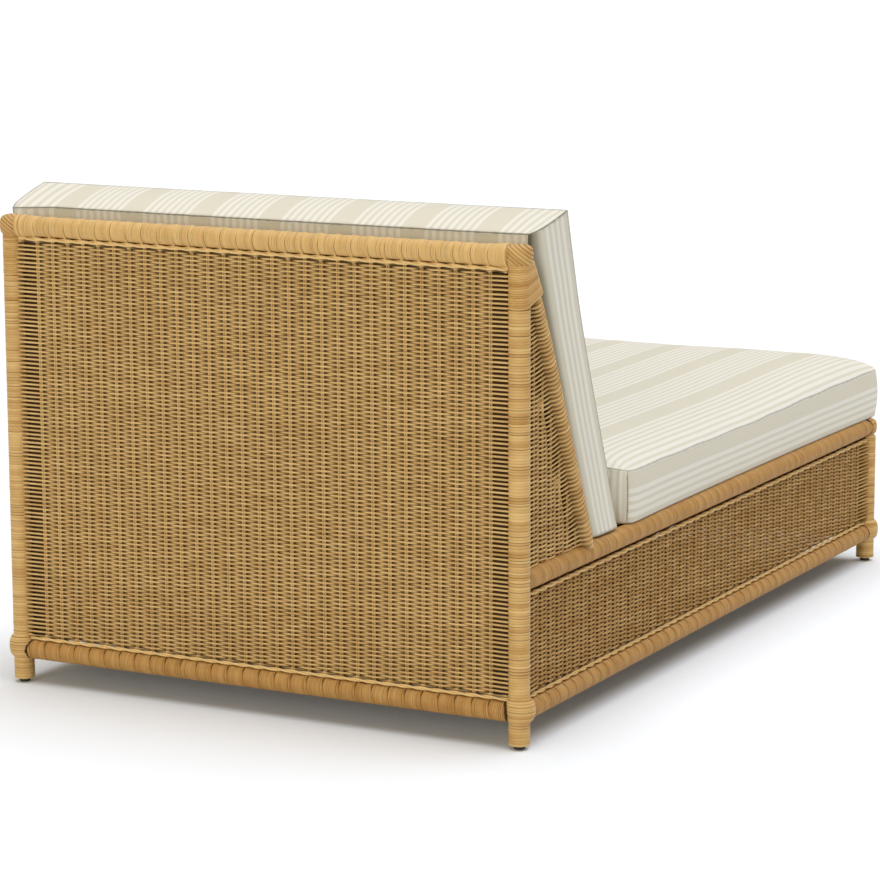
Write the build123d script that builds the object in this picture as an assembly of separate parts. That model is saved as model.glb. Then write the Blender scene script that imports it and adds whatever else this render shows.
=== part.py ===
from build123d import *
import math
import os

# Rattan sun lounger: a wrapped pole frame with woven skins and two loose box cushions.
# Millimetres. +Z up, +Y the back, -Y the foot end, +X the sitter's left.
# The origin is on the floor, under the middle of the lounger.

# Box frame, between pole axes
post_spacing_x = 878.0
post_spacing_y = 1436.0
lower_rail_z = 55.0
upper_rail_z = 251.0
top_rail_z = 729.0

# Poles and the canes wound on them
post_core_d = 25.0
post_wrap = 3.7
rail_core_d = 24.0
rail_wrap = 3.8
stile_core_d = 23.0
stile_wrap = 3.9
bar_d = 22.0

# Back stile: how far its foot stands ahead of the rear post, and how far above the upper side rail
# the two axes would meet
stile_reach = 222.6
stile_meet_rise = 495.0
stile_cut_below_cap = 4.0

# Corner caps and the binding that holds post and stile together
rear_cap_r = 20.4
rear_cap_rise = 18.0
front_cap_r = 17.8
cap_edge_r = 8.0
cap_cover = 4.5
binding_height = 61.0

# Glides
glide_d = 17.4
glide_height = 6.0
glide_pin_d = 4.0
glide_pin_length = 20.0

# Woven skins
stake_pitch = 28.4
weave_thickness = 9.0
weave_waist = 3.4
selvage_width = 30.0
selvage_thickness = 3.6
border_d = 6.0
deck_bar_pitch = 300.0

# Frame nails: headless brads, square in section
nail_width = 3.6
nail_length = 64.0
nail_stagger = 5.0

# Cushions. The back cushion stands on the deck a little more upright than the stiles behind it
cushion_side_overlap = 7.0
cushion_drawn_in = 5.0
cushion_wadding = 6.0
soft_clearance = 0.3
cushion_gap = 35.5
seat_boxing = 88.0
seat_end_crown = 12.0
seat_crown = 22.0
seat_side_bulge = 3.0
back_cushion_height = 532.0
back_foot_gap = 22.8
back_foot_depth = 88.3
back_head_depth = 96.4
back_head_rise = 19.4
back_lean_less = math.radians(2.3)
back_end_crown = 5.0
back_front_crown = 20.0
back_top_crown = 8.0
back_top_end_crown = 3.0

# Zips
zip_width = 9.0
zip_thickness = 1.2
zip_length = 700.0

# Corners of the small straight pieces, which are drawn as many-sided rods
nail_corners = 4
twine_corners = 6

# Places of the cushion sections along their length, and how full each one is
section_shares = (-1.0, -0.85, -0.55, 0.0, 0.55, 0.85, 1.0)
fullness_shares = (0.0, 0.46, 0.82, 1.0, 0.82, 0.46, 0.0)

# Derived places
post_x = post_spacing_x / 2
post_y = post_spacing_y / 2
post_core_r = post_core_d / 2
post_r = post_core_r + post_wrap
rail_core_r = rail_core_d / 2
rail_r = rail_core_r + rail_wrap
stile_core_r = stile_core_d / 2
stile_r = stile_core_r + stile_wrap
bar_r = bar_d / 2
post_foot_z = glide_height
rear_cap_top = top_rail_z + rear_cap_rise
rear_cap_foot = top_rail_z - rail_r
front_cap_top = upper_rail_z + rail_r
front_cap_foot = upper_rail_z - rail_r
binding_foot = rear_cap_foot - binding_height
stile_foot_y = post_y - stile_reach
stile_lean = math.atan(stile_reach / stile_meet_rise)
stile_up = Vector(0, math.sin(stile_lean), math.cos(stile_lean))
deck_top = upper_rail_z + rail_r
deck_z = deck_top - weave_thickness / 2
bar_z = deck_top - weave_thickness - bar_r
seat_floor_z = deck_top + soft_clearance
back_lean = stile_lean - back_lean_less
cushion_half_width = post_x + cushion_side_overlap
sides = {"left": 1, "right": -1}


def rod(radius, start, end):
    start, end = Vector(*start), Vector(*end)
    along = end - start
    return Solid.make_cylinder(radius, along.length, Plane(origin=start, z_dir=along))


def cornered_rod(radius, start, end, corners):
    start, end = Vector(*start), Vector(*end)
    along = end - start
    plane = Plane(origin=start, z_dir=along)
    return extrude(plane * RegularPolygon(radius, corners), amount=along.length, dir=plane.z_dir).solid()


def one_solid(shape):
    solids = shape.solids()
    return max(solids, key=lambda piece: piece.volume)


def stile_point(side, z):
    y = stile_foot_y + (z - upper_rail_z) * math.tan(stile_lean)
    return (side * post_x, y, z)


# Pole axes, each as start and end
post_axes = {}
x_rail_axes = {
    "back_top_rail": ((-post_x, post_y, top_rail_z), (post_x, post_y, top_rail_z)),
    "back_lower_rail": ((-post_x, post_y, lower_rail_z), (post_x, post_y, lower_rail_z)),
    "front_upper_rail": ((-post_x, -post_y, upper_rail_z), (post_x, -post_y, upper_rail_z)),
    "front_lower_rail": ((-post_x, -post_y, lower_rail_z), (post_x, -post_y, lower_rail_z)),
}
y_rail_axes = {}
stile_axes = {}
for name, side in sides.items():
    x = side * post_x
    post_axes["rear_post_" + name] = ((x, post_y, post_foot_z), (x, post_y, rear_cap_top - cap_cover))
    post_axes["front_post_" + name] = ((x, -post_y, post_foot_z), (x, -post_y, front_cap_top - cap_cover))
    y_rail_axes["side_upper_rail_" + name] = ((x, -post_y, upper_rail_z), (x, post_y, upper_rail_z))
    y_rail_axes["side_lower_rail_" + name] = ((x, -post_y, lower_rail_z), (x, post_y, lower_rail_z))
    stile_axes["back_stile_" + name] = (
        stile_point(side, upper_rail_z), stile_point(side, rear_cap_foot - stile_cut_below_cap))

post_core_tools = [rod(post_core_r, *axis) for axis in post_axes.values()]
post_tools = [rod(post_r, *axis) for axis in post_axes.values()]
y_rail_core_tools = [rod(rail_core_r, *axis) for axis in y_rail_axes.values()]
y_rail_tools = [rod(rail_r, *axis) for axis in y_rail_axes.values()]
stile_core_tools = [rod(stile_core_r, *axis) for axis in stile_axes.values()]
stile_tools = [rod(stile_r, *axis) for axis in stile_axes.values()]


def cap_blank(x, y, foot, top, radius):
    # A knob on the post top, drawn in towards its crown
    shoulder = top - cap_edge_r
    barrel = Solid.make_cylinder(radius, shoulder - foot, Plane(origin=(x, y, foot)))
    crown = Solid.make_cone(radius, radius - cap_edge_r, cap_edge_r, Plane(origin=(x, y, shoulder)))
    return one_solid(barrel + crown)


rear_cap_blanks = [cap_blank(side * post_x, post_y, rear_cap_foot, rear_cap_top, rear_cap_r)
                   for side in sides.values()]
front_cap_blanks = [cap_blank(side * post_x, -post_y, front_cap_foot, front_cap_top, front_cap_r)
                    for side in sides.values()]


def stadium(side, z):
    # The line of canes round post and stile together, at one height
    x = side * post_x
    front_y = stile_point(side, z)[1]
    rear_end = ThreePointArc((x - post_r, post_y, z), (x, post_y + post_r, z), (x + post_r, post_y, z))
    front_end = ThreePointArc((x + post_r, front_y, z), (x, front_y - post_r, z), (x - post_r, front_y, z))
    return Wire([
        rear_end.edge(),
        Edge.make_line((x + post_r, post_y, z), (x + post_r, front_y, z)),
        front_end.edge(),
        Edge.make_line((x - post_r, front_y, z), (x - post_r, post_y, z)),
    ])


binding_blanks = [Solid.make_loft([stadium(side, binding_foot), stadium(side, rear_cap_foot)], True)
                  for side in sides.values()]


# Poles: posts whole, side rails coped to the wound posts, cross rails to both, stiles to rail and post
def poles():
    corners = post_tools + rear_cap_blanks + front_cap_blanks
    made = {}
    for name, axis in post_axes.items():
        made[name] = rod(post_core_r, *axis)
    for name, axis in y_rail_axes.items():
        made[name] = one_solid(rod(rail_core_r, *axis) - corners)
    for name, axis in x_rail_axes.items():
        made[name] = one_solid(rod(rail_core_r, *axis) - corners - y_rail_tools)
    for name, axis in stile_axes.items():
        made[name] = one_solid(rod(stile_core_r, *axis) - post_core_tools - y_rail_tools)
    foot = (post_x, stile_foot_y, upper_rail_z)
    base = rod(bar_r, (-foot[0], foot[1], foot[2]), foot)
    made["backrest_base_rail"] = one_solid(base - y_rail_tools - stile_tools)
    return made


def deck_ends():
    # Where the deck's lower face meets the front rail and the base rail
    drop = rail_r - weave_thickness
    front = -post_y + math.sqrt(rail_r ** 2 - drop ** 2)
    rear = stile_foot_y - math.sqrt(bar_r ** 2 - drop ** 2)
    return front, rear


def deck_bar_places():
    # Each bar lies under a stake of the deck
    front, rear = deck_ends()
    stakes = max(2, round((rear - front) / stake_pitch))
    count = max(2, round((rear - front) / deck_bar_pitch))
    return [front + (rear - front) * round(stakes * step / count) / stakes for step in range(1, count)]


def deck_bars():
    bars = []
    for y in deck_bar_places():
        bar = rod(bar_r, (-post_x, y, bar_z), (post_x, y, bar_z))
        bars.append(one_solid(bar - y_rail_tools))
    return bars


# Wraps: tubes of wound cane, coped where they meet another pole
def wraps():
    made = {}
    corners = post_tools + rear_cap_blanks + front_cap_blanks
    for name, (start, end) in post_axes.items():
        top = binding_foot if name.startswith("rear") else front_cap_foot
        top_point = (start[0], start[1], top)
        made[name + "_wrap"] = one_solid(rod(post_r, start, top_point) - rod(post_core_r, start, top_point))
    for name, axis in y_rail_axes.items():
        tube = rod(rail_r, *axis) - rod(rail_core_r, *axis)
        made[name + "_wrap"] = one_solid(tube - corners)
    for name, axis in x_rail_axes.items():
        tube = rod(rail_r, *axis) - rod(rail_core_r, *axis)
        made[name + "_wrap"] = one_solid(tube - corners - y_rail_tools)
    for name, axis in stile_axes.items():
        side = sides[name.rsplit("_", 1)[1]]
        tube = rod(stile_r, *axis) - rod(stile_core_r, *axis)
        above = Solid.make_box(2 * rear_cap_r, post_y, rear_cap_top,
                               Plane(origin=(side * post_x - rear_cap_r, 0, binding_foot)))
        made[name + "_wrap"] = one_solid(tube - y_rail_tools - above)
    return made


def corner_pieces():
    bindings = [one_solid(blank - post_core_tools - stile_core_tools) for blank in binding_blanks]
    rear_caps = [one_solid(blank - post_core_tools) for blank in rear_cap_blanks]
    front_caps = [one_solid(blank - post_core_tools) for blank in front_cap_blanks]
    return {"rear_corner_bindings": bindings, "rear_corner_caps": rear_caps, "front_corner_caps": front_caps}


def glide(x, y):
    # A nail-on glide: its pin goes up into the post end
    disc = Solid.make_cylinder(glide_d / 2, glide_height, Plane(origin=(x, y, 0)))
    pin = cornered_rod(glide_pin_d / 2, (x, y, glide_height), (x, y, glide_height + glide_pin_length),
                       nail_corners)
    return one_solid(disc + pin)


# Woven skins: a slab that swells where the rows pass over each stake, has a waist between two stakes
# and thins beside the poles
def woven_face(length, plane, thin_ends=True):
    half = length / 2
    edge = selvage_width if thin_ends else 0
    inner = length - 2 * edge
    count = max(1, round(inner / stake_pitch))
    pitch = inner / count
    waist = weave_waist / 2
    full = weave_thickness / 2
    thin = selvage_thickness / 2
    start = half - edge
    taper = start + edge / 2
    outline = []
    for face_side in (1, -1):
        line = [(half, thin), (taper, thin)] if thin_ends else []
        for step in range(count):
            line += [(start - pitch * step, full), (start - pitch * (step + 1 / 2), waist)]
        line.append((-start, full))
        line += [(-taper, thin), (-half, thin)] if thin_ends else []
        outline += [(face_side * u, face_side * v) for u, v in line]
    return plane * make_face(Polyline(*outline, close=True))


def upright_panel(length, x, y, along_x, foot, head):
    x_dir = (1, 0, 0) if along_x else (0, 1, 0)
    plane = Plane(origin=(x, y, foot), x_dir=x_dir, z_dir=(0, 0, 1))
    return extrude(woven_face(length, plane), amount=head - foot, dir=(0, 0, 1))


def bordered(length, x, y, along_x, low_rail, high_rail):
    # A panel and the two twined borders between it and its rails
    low = low_rail + rail_r + border_d
    high = high_rail - rail_r - border_d
    panel = upright_panel(length, x, y, along_x, low, high)
    half = length / 2
    rods = []
    for z in (low - border_d / 2, high + border_d / 2):
        ends = [(x - half, y, z), (x + half, y, z)] if along_x else [(x, y - half, z), (x, y + half, z)]
        rods.append(cornered_rod(border_d / 2, *ends, twine_corners))
    return one_solid(panel), Compound(children=rods)


def wedge_panel(side):
    # Fills the triangle between post, stile and upper side rail
    reach = stile_r / math.cos(stile_lean)
    post_face = post_y - post_r
    low = upper_rail_z + rail_r
    low_front = stile_point(side, low)[1] + reach
    high_front = stile_point(side, binding_foot)[1] + reach
    length = post_face - low_front
    slab = upright_panel(length, side * post_x, low_front + length / 2, False, low, binding_foot)
    outline = Polyline((low_front, low), (post_face, low), (post_face, binding_foot),
                       (high_front, binding_foot), close=True)
    plane = Plane(origin=(side * post_x - weave_thickness, 0, 0), x_dir=(0, 1, 0), z_dir=(1, 0, 0))
    prism = extrude(plane * make_face(outline), amount=2 * weave_thickness, dir=(1, 0, 0))
    return one_solid(slab & prism)


def backrest_face():
    # Woven between the stiles, from the base rail up to the top rail, notched round the corner windings
    foot = Vector(0, stile_foot_y, upper_rail_z) + stile_up * bar_r
    reach = (Vector(0, post_y, top_rail_z) - foot).dot(stile_up) - rail_r
    plane = Plane(origin=foot, x_dir=(1, 0, 0), z_dir=stile_up)
    slab = extrude(woven_face(2 * (post_x - stile_r), plane), amount=reach, dir=stile_up)
    notches = [Solid.make_box(2 * rear_cap_r, 2 * post_y, rear_cap_top,
                              Plane(origin=(side * post_x - rear_cap_r, 0, binding_foot)))
               for side in sides.values()]
    return one_solid(slab - notches)


def seat_deck():
    # Woven over the cross bars, level with the tops of the rails
    front, rear = deck_ends()
    half_width = post_x - (post_y + front)
    plane = Plane(origin=(-half_width, (front + rear) / 2, deck_z), x_dir=(0, 1, 0), z_dir=(1, 0, 0))
    slab = extrude(woven_face(rear - front, plane, thin_ends=False), amount=2 * half_width, dir=(1, 0, 0))
    return one_solid(slab - stile_tools)


# Cushions: covers with their wadding, lofted through sections whose crown rises toward the middle
def closed_section(corners, sagittas, plane):
    # Corners in order; each side bows outward by its sagitta, or is straight where that is zero
    edges = []
    centre_u = sum(corner[0] for corner in corners) / len(corners)
    centre_v = sum(corner[1] for corner in corners) / len(corners)
    for index, start in enumerate(corners):
        end = corners[(index + 1) % len(corners)]
        bow = sagittas[index]
        if bow == 0:
            edges.append(Edge.make_line(start, end))
            continue
        mid = ((start[0] + end[0]) / 2, (start[1] + end[1]) / 2)
        normal = (end[1] - start[1], start[0] - end[0])
        size = math.hypot(*normal)
        outward = 1 if normal[0] * (mid[0] - centre_u) + normal[1] * (mid[1] - centre_v) > 0 else -1
        peak = (mid[0] + outward * bow * normal[0] / size, mid[1] + outward * bow * normal[1] / size)
        edges.append(ThreePointArc(start, peak, end).edge())
    return plane * Wire(edges)


def back_outline():
    # The boxing's corners in Y and Z: front foot, rear foot, rear head, front head
    rear_foot = stile_point(1, seat_floor_z)[1] - back_foot_gap
    head_y = rear_foot + back_cushion_height * math.sin(back_lean)
    head_z = seat_floor_z + back_cushion_height * math.cos(back_lean)
    return [(rear_foot - back_foot_depth, seat_floor_z), (rear_foot, seat_floor_z),
            (head_y, head_z), (head_y - back_head_depth, head_z + back_head_rise)]


seat_rear_y = back_outline()[0][0] - cushion_gap


def seat_cushion():
    low = seat_floor_z
    high = seat_floor_z + seat_boxing
    front = -(post_y + rear_cap_r)
    sections = []
    for place, fullness in zip(section_shares, fullness_shares):
        half = cushion_half_width - cushion_drawn_in * fullness
        crown = seat_end_crown + (seat_crown - seat_end_crown) * fullness
        corners = [(-half, low), (half, low), (half, high), (-half, high)]
        bows = [0, seat_side_bulge, crown, seat_side_bulge]
        y = (front + seat_rear_y) / 2 + place * (seat_rear_y - front) / 2
        plane = Plane(origin=(0, y, 0), x_dir=(1, 0, 0), z_dir=(0, -1, 0))
        sections.append(closed_section(corners, bows, plane))
    return Solid.make_loft(sections, True)


def back_rear_crown():
    # The rear face swells until it meets the backrest face, which leans a little more than the cushion
    rearward = Vector(0, math.cos(stile_lean), -math.sin(stile_lean))
    gaps = []
    for y, z in back_outline()[1:3]:
        to_axis = Vector(0, y - stile_foot_y, z - upper_rail_z)
        gaps.append(-to_axis.dot(rearward) - weave_thickness / 2 - 2 * soft_clearance)
    mean = sum(gaps) / 2
    spread = (gaps[1] - gaps[0]) / 2
    return (mean + math.sqrt(mean ** 2 - spread ** 2)) / 2


def back_cushion():
    sections = []
    for place, fullness in zip(section_shares, fullness_shares):
        rear = back_end_crown + (back_rear_crown() - back_end_crown) * fullness
        front = back_end_crown + (back_front_crown - back_end_crown) * fullness
        top = back_top_end_crown + (back_top_crown - back_top_end_crown) * fullness
        plane = Plane(origin=(place * cushion_half_width, 0, 0), x_dir=(0, 1, 0), z_dir=(1, 0, 0))
        sections.append(closed_section(back_outline(), [0, rear, top, front], plane))
    return Solid.make_loft(sections, True)


def foam_block(outline):
    # A flat-cut block inside the wadding, from the boxing's outline in Y and Z
    plane = Plane(origin=(-cushion_half_width, 0, 0), x_dir=(0, 1, 0), z_dir=(1, 0, 0))
    boxing = plane * make_face(Polyline(*outline, close=True))
    face = offset(boxing, amount=-cushion_wadding, kind=Kind.INTERSECTION)
    inset = 2 * cushion_wadding
    block = extrude(face, amount=2 * (cushion_half_width - inset), dir=(1, 0, 0))
    return block.moved(Location((inset, 0, 0))).solid()


def cushions():
    made = {}
    front, low = -(post_y + rear_cap_r), seat_floor_z
    seat_foam = foam_block([(front, low), (seat_rear_y, low), (seat_rear_y, low + seat_boxing),
                            (front, low + seat_boxing)])
    back_foam = foam_block(back_outline())
    seat_zip = Solid.make_box(zip_length, zip_thickness, zip_width, Plane(origin=(
        -zip_length / 2, seat_rear_y - zip_thickness, seat_floor_z + seat_boxing / 2 - zip_width / 2)))
    foot_mid = (back_outline()[0][0] + back_outline()[1][0]) / 2
    back_zip = Solid.make_box(zip_length, zip_width, zip_thickness, Plane(origin=(
        -zip_length / 2, foot_mid - zip_width / 2, seat_floor_z)))
    made["seat_cushion_cover"] = one_solid(seat_cushion() - seat_foam - seat_zip)
    made["seat_cushion_foam"] = seat_foam
    made["seat_cushion_zip"] = seat_zip
    made["back_cushion_cover"] = one_solid(back_cushion() - back_foam - back_zip)
    made["back_cushion_foam"] = back_foam
    made["back_cushion_zip"] = back_zip
    return made


# Frame nails: driven in until they lie under the wraps, far enough to reach into the pole ends
def nail(start, direction):
    tip = Vector(*start) + Vector(*direction) * nail_length
    return cornered_rod(nail_width / 2, start, tip, nail_corners)


def nail_reach(core_r, offset):
    # How far from a pole's axis a nail starts, so that all of it is inside the round surface
    return math.sqrt(core_r ** 2 - (nail_width / 2 + offset) ** 2)


def frame_nails():
    made = []
    depth = nail_reach(post_core_r, 0)
    for start, end in x_rail_axes.values():
        z = start[2] + nail_stagger
        made.append(nail((-post_x - depth, start[1], z), (1, 0, 0)))
        made.append(nail((post_x + depth, start[1], z), (-1, 0, 0)))
    for start, end in y_rail_axes.values():
        z = start[2] - nail_stagger
        made.append(nail((start[0], -post_y - depth, z), (0, 1, 0)))
        made.append(nail((start[0], post_y + depth, z), (0, -1, 0)))
    crossings = [(stile_foot_y, upper_rail_z)] + [(y, bar_z) for y in deck_bar_places()]
    for y, z in crossings:
        reach = post_x + nail_reach(rail_core_r, abs(z - upper_rail_z))
        for side in sides.values():
            made.append(nail((side * reach, y, z), (-side, 0, 0)))
    return made


def build():
    nodes = {}
    nails = frame_nails()
    glides = [glide(side * post_x, y) for y in (post_y, -post_y) for side in sides.values()]
    fixings = nails + glides
    for name, shape in poles().items():
        nodes[name] = one_solid(shape - fixings)
    nodes["deck_cross_bars"] = Compound(children=[one_solid(bar - nails) for bar in deck_bars()])
    for name, shape in wraps().items():
        nodes[name] = one_solid(shape - nails)
    for name, pieces in corner_pieces().items():
        nodes[name] = Compound(children=[one_solid(piece - nails) for piece in pieces])
    nodes["foot_glides"] = Compound(children=glides)
    nodes["frame_nails"] = Compound(children=nails)
    cross_length = post_spacing_x - 2 * post_r
    side_length = post_spacing_y - 2 * post_r
    nodes["back_woven_panel"], nodes["back_panel_borders"] = bordered(
        cross_length, 0, post_y, True, lower_rail_z, top_rail_z)
    nodes["front_woven_panel"], nodes["front_panel_borders"] = bordered(
        cross_length, 0, -post_y, True, lower_rail_z, upper_rail_z)
    for name, side in sides.items():
        nodes["side_woven_panel_" + name], nodes["side_panel_borders_" + name] = bordered(
            side_length, side * post_x, 0, False, lower_rail_z, upper_rail_z)
        nodes["wedge_woven_panel_" + name] = wedge_panel(side)
    nodes["backrest_woven_face"] = backrest_face()
    nodes["seat_woven_deck"] = seat_deck()
    nodes.update(cushions())
    return nodes


os.makedirs("parts", exist_ok=True)
for node, shape in build().items():
    export_step(shape, "parts/" + node + ".step")
    print(node, round(shape.volume))
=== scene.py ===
"""Rattan sun lounger: wound poles, woven skins, two striped box cushions and the studio around them."""

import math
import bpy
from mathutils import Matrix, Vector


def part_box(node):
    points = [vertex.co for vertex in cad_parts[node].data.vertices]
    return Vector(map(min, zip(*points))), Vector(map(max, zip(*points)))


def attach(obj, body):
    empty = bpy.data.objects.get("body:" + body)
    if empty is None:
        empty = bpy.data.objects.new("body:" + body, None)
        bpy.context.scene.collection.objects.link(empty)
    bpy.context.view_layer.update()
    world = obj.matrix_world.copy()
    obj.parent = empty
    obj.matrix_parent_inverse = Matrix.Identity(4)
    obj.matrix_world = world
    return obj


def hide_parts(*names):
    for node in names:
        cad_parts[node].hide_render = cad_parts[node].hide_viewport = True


bl_info = {
    "name": "Rattan sun lounger",
    "version": (1, 0, 0),
    "blender": (4, 5, 0),
    "location": "View3D > Sidebar > Lounger",
    "description": "Builds the wound, woven and sewn pieces of a rattan sun lounger on its solid frame",
    "category": "Add Mesh",
}

from functools import partial

import bmesh
import bpy
import numpy as np
from bpy.props import FloatProperty, FloatVectorProperty, IntProperty, PointerProperty
from mathutils import Matrix, Vector

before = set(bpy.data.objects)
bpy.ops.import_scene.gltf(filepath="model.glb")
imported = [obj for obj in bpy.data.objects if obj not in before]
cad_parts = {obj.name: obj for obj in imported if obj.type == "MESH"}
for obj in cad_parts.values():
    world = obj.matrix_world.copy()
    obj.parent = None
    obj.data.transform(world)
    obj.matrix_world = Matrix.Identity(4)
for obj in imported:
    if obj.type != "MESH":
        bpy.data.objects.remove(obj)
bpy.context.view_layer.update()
TAU = 2 * math.pi
SIDES = {"left": 1, "right": -1}


def middle(node):
    low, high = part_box(node)
    return (Vector(low) + Vector(high)) / 2


def half_extent(node, axis):
    low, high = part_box(node)
    return (high[axis] - low[axis]) / 2


# Places and radii read from the frame, in metres
POST_X, POST_Y = middle("rear_post_left").x, middle("rear_post_left").y
LOWER_Z = middle("side_lower_rail_left").z
UPPER_Z = middle("side_upper_rail_left").z
TOP_Z = middle("back_top_rail").z
STILE_FOOT = middle("backrest_base_rail")
STILE_MEET_Z = UPPER_Z + 0.495
LEAN = (POST_Y - STILE_FOOT.y) / (STILE_MEET_Z - UPPER_Z)
POST_R = half_extent("front_post_left_wrap", 0)
RAIL_R = half_extent("back_lower_rail_wrap", 2)
STILE_R = half_extent("back_stile_left_wrap", 0)
BINDING_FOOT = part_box("rear_corner_bindings")[0].z

# Each panel's lower left corner, its direction, the way that it faces and the span between its posts
PANELS = {
    "back": ((-POST_X, POST_Y, 0), (1, 0, 0), (0, 1, 0), 2 * POST_X),
    "front": ((POST_X, -POST_Y, 0), (-1, 0, 0), (0, -1, 0), 2 * POST_X),
    "right": ((-POST_X, -POST_Y, 0), (0, 1, 0), (-1, 0, 0), 2 * POST_Y),
    "left": ((POST_X, POST_Y, 0), (0, -1, 0), (1, 0, 0), 2 * POST_Y),
}
PANEL_CLEAR = POST_R + 0.030  # from a post's axis to the first stakes
NARROW_CANE = 0.0011  # the cane in the groove at a rail's end
FOOT_HALF, FOOT_RISE, FOOT_GROW = 0.0175, 0.0045, 0.0058  # the binding that swells at a post's foot
KNOB_R, KNOB_HALF, KNOB_POWER = 0.0204, 0.0172, 3.0  # the squarish dome on a rear post
SEAT_THICK, BACK_THICK, BACK_LONG = 0.088, 0.092, 0.532  # the cushions between their seams
EDGE = 0.999  # the share of a panel where its seam starts


def linear(hex_colour):
    """An sRGB hex colour as Blender's linear red, green, blue, alpha."""
    channels = [int(hex_colour[i : i + 2], 16) / 255 for i in (1, 3, 5)]
    return tuple(c / 12.92 if c <= 0.04045 else ((c + 0.055) / 1.055) ** 2.4 for c in channels) + (1.0,)


def colour(name, description, hex_colour):
    return FloatVectorProperty(
        name=name, description=description, subtype="COLOR", size=4, min=0, max=1, default=linear(hex_colour)
    )


def length(name, description, default):
    return FloatProperty(
        name=name, description=description, default=default, unit="LENGTH", precision=4, min=0
    )


class LoungerSizes(bpy.types.PropertyGroup):
    """Sizes and colours of the wound, woven and sewn pieces."""

    post_cane: length("Post cane", "Width of a cane wound on a post", 0.0043)
    stile_cane: length("Stile cane", "Width of a cane wound on a back stile", 0.0036)
    loop_cane: length("Loop cane", "Width of the raised loop that ties a rail to each stake", 0.0051)
    tie_radius: length("Tie radius", "Half the thickness of a cane that ties a border to its rail", 0.00125)
    cane_valley: length("Cane valley", "Depth between two wound canes", 0.0005)
    stake_pitch: length("Stake pitch", "Distance between two pairs of stakes", 0.0284)
    stake_radius: length("Stake radius", "Radius of one stake", 0.0014)
    row_pitch: length("Row pitch", "Distance between two woven rows", 0.0033)
    reed_radius: length("Reed radius", "Radius of the reed of a woven row", 0.00165)
    reed_swing: length("Reed swing", "How far a row stands before and behind its stakes", 0.0031)
    deck_row_pitch: length("Deck row pitch", "Distance between two rows of the deck and backrest", 0.006)
    cell: length("Cloth cell", "Edge of one cell of the cushion cloth", 0.012)
    cloth_swell: length("Cloth swell", "Most that the cushion cloth may swell under its filling", 0.004)
    pressure: FloatProperty(name="Cushion pressure", description="Pressure in a cushion", default=4.0, min=0)
    stripe_count: IntProperty(name="Ivory stripes", description="Ivory stripes in a group", default=7, min=1)
    stripe_width: length("Ivory stripe", "Width of one ivory stripe", 0.0068)
    stripe_pitch: length("Stripe pitch", "Distance between two ivory stripes", 0.01255)
    stripe_repeat: length("Stripe repeat", "Distance between two groups of stripes", 0.1227)
    cane_light: colour("Light cane", "Cane bleached by the sun", "#DBB574")
    cane_deep: colour("Deep cane", "Cane in its own honey colour", "#AD7B36")
    # painted shade: the colour mixed into the cane where shade falls in its hollows and gaps
    cane_shadow: colour("Cane hollow", "Dust and lacquer in the hollows between canes", "#36200C")
    reed_light: colour("Light reed", "Pale reed of the weave", "#E3BF80")
    reed_deep: colour("Deep reed", "Darker reed of the weave", "#A67839")
    ivory: colour("Ivory stripe", "Ivory yarn of the ticking", "#E9E5D9")
    taupe: colour("Taupe band", "Taupe yarn of the ticking", "#DAD3C0")
    seam: colour("Seam", "Thread and shade in a seam", "#5E563F")


# ---------------------------------------------------------------- mesh helpers


def linked(name, data):
    piece = bpy.data.objects.new(name, data)
    bpy.context.scene.collection.objects.link(piece)
    return piece


def from_bmesh(name, bm):
    mesh = bpy.data.meshes.new(name)
    bm.to_mesh(mesh)
    bm.free()
    return linked(name, mesh)


def face_outwards(piece):
    bm = bmesh.new()
    bm.from_mesh(piece.data)
    bmesh.ops.recalc_face_normals(bm, faces=bm.faces)
    bm.to_mesh(piece.data)
    bm.free()


def baked(piece):
    """Gives a piece the mesh that its modifiers or its curve make."""
    graph = bpy.context.evaluated_depsgraph_get()
    mesh = bpy.data.meshes.new_from_object(
        piece.evaluated_get(graph), preserve_all_data_layers=True, depsgraph=graph
    )
    name = piece.name
    bpy.data.objects.remove(piece)
    mesh.name = name
    return linked(name, mesh)


def joined(name, pieces):
    """One piece from several, with their attributes."""
    with bpy.context.temp_override(
        active_object=pieces[0], object=pieces[0], selected_objects=pieces, selected_editable_objects=pieces
    ):
        bpy.ops.object.join()
    pieces[0].name = pieces[0].data.name = name
    return pieces[0]


def points(piece):
    flat = np.empty(len(piece.data.vertices) * 3, np.float32)
    piece.data.vertices.foreach_get("co", flat)
    return flat.reshape(-1, 3).astype(float)


def move(piece, places):
    piece.data.vertices.foreach_set("co", places.astype(np.float32).ravel())
    piece.data.update()


def paint(piece, **values):
    """Writes one number for each point, for a material to read."""
    count = len(piece.data.vertices)
    for name, numbers in values.items():
        layer = piece.data.attributes.new(name, "FLOAT", "POINT")
        layer.data.foreach_set("value", np.broadcast_to(numbers, count).astype(np.float32))


def put(piece, matrix):
    """Puts a piece's points where the matrix says, with its faces still outwards."""
    turn = np.array(matrix.to_3x3())
    move(piece, points(piece) @ turn.T + np.array(matrix.translation))
    if matrix.determinant() < 0:
        piece.data.flip_normals()


def axes(origin, x_axis, y_axis):
    """A place whose X and Y run as given and whose Z is across both."""
    x_axis, y_axis = Vector(x_axis).normalized(), Vector(y_axis).normalized()
    turn = Matrix((x_axis, y_axis, x_axis.cross(y_axis))).transposed()
    return Matrix.Translation(origin) @ turn.to_4x4()


def finished(piece, slot, material, *nodes, body="frame", is_smooth=True):
    """Gives a piece its material, the body that it rides on and the nodes that it stands for."""
    if is_smooth:
        piece.data.shade_smooth()
    piece.data.materials.clear()
    piece.data.materials.append(material)
    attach(piece, body)
    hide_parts(*nodes)


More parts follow.
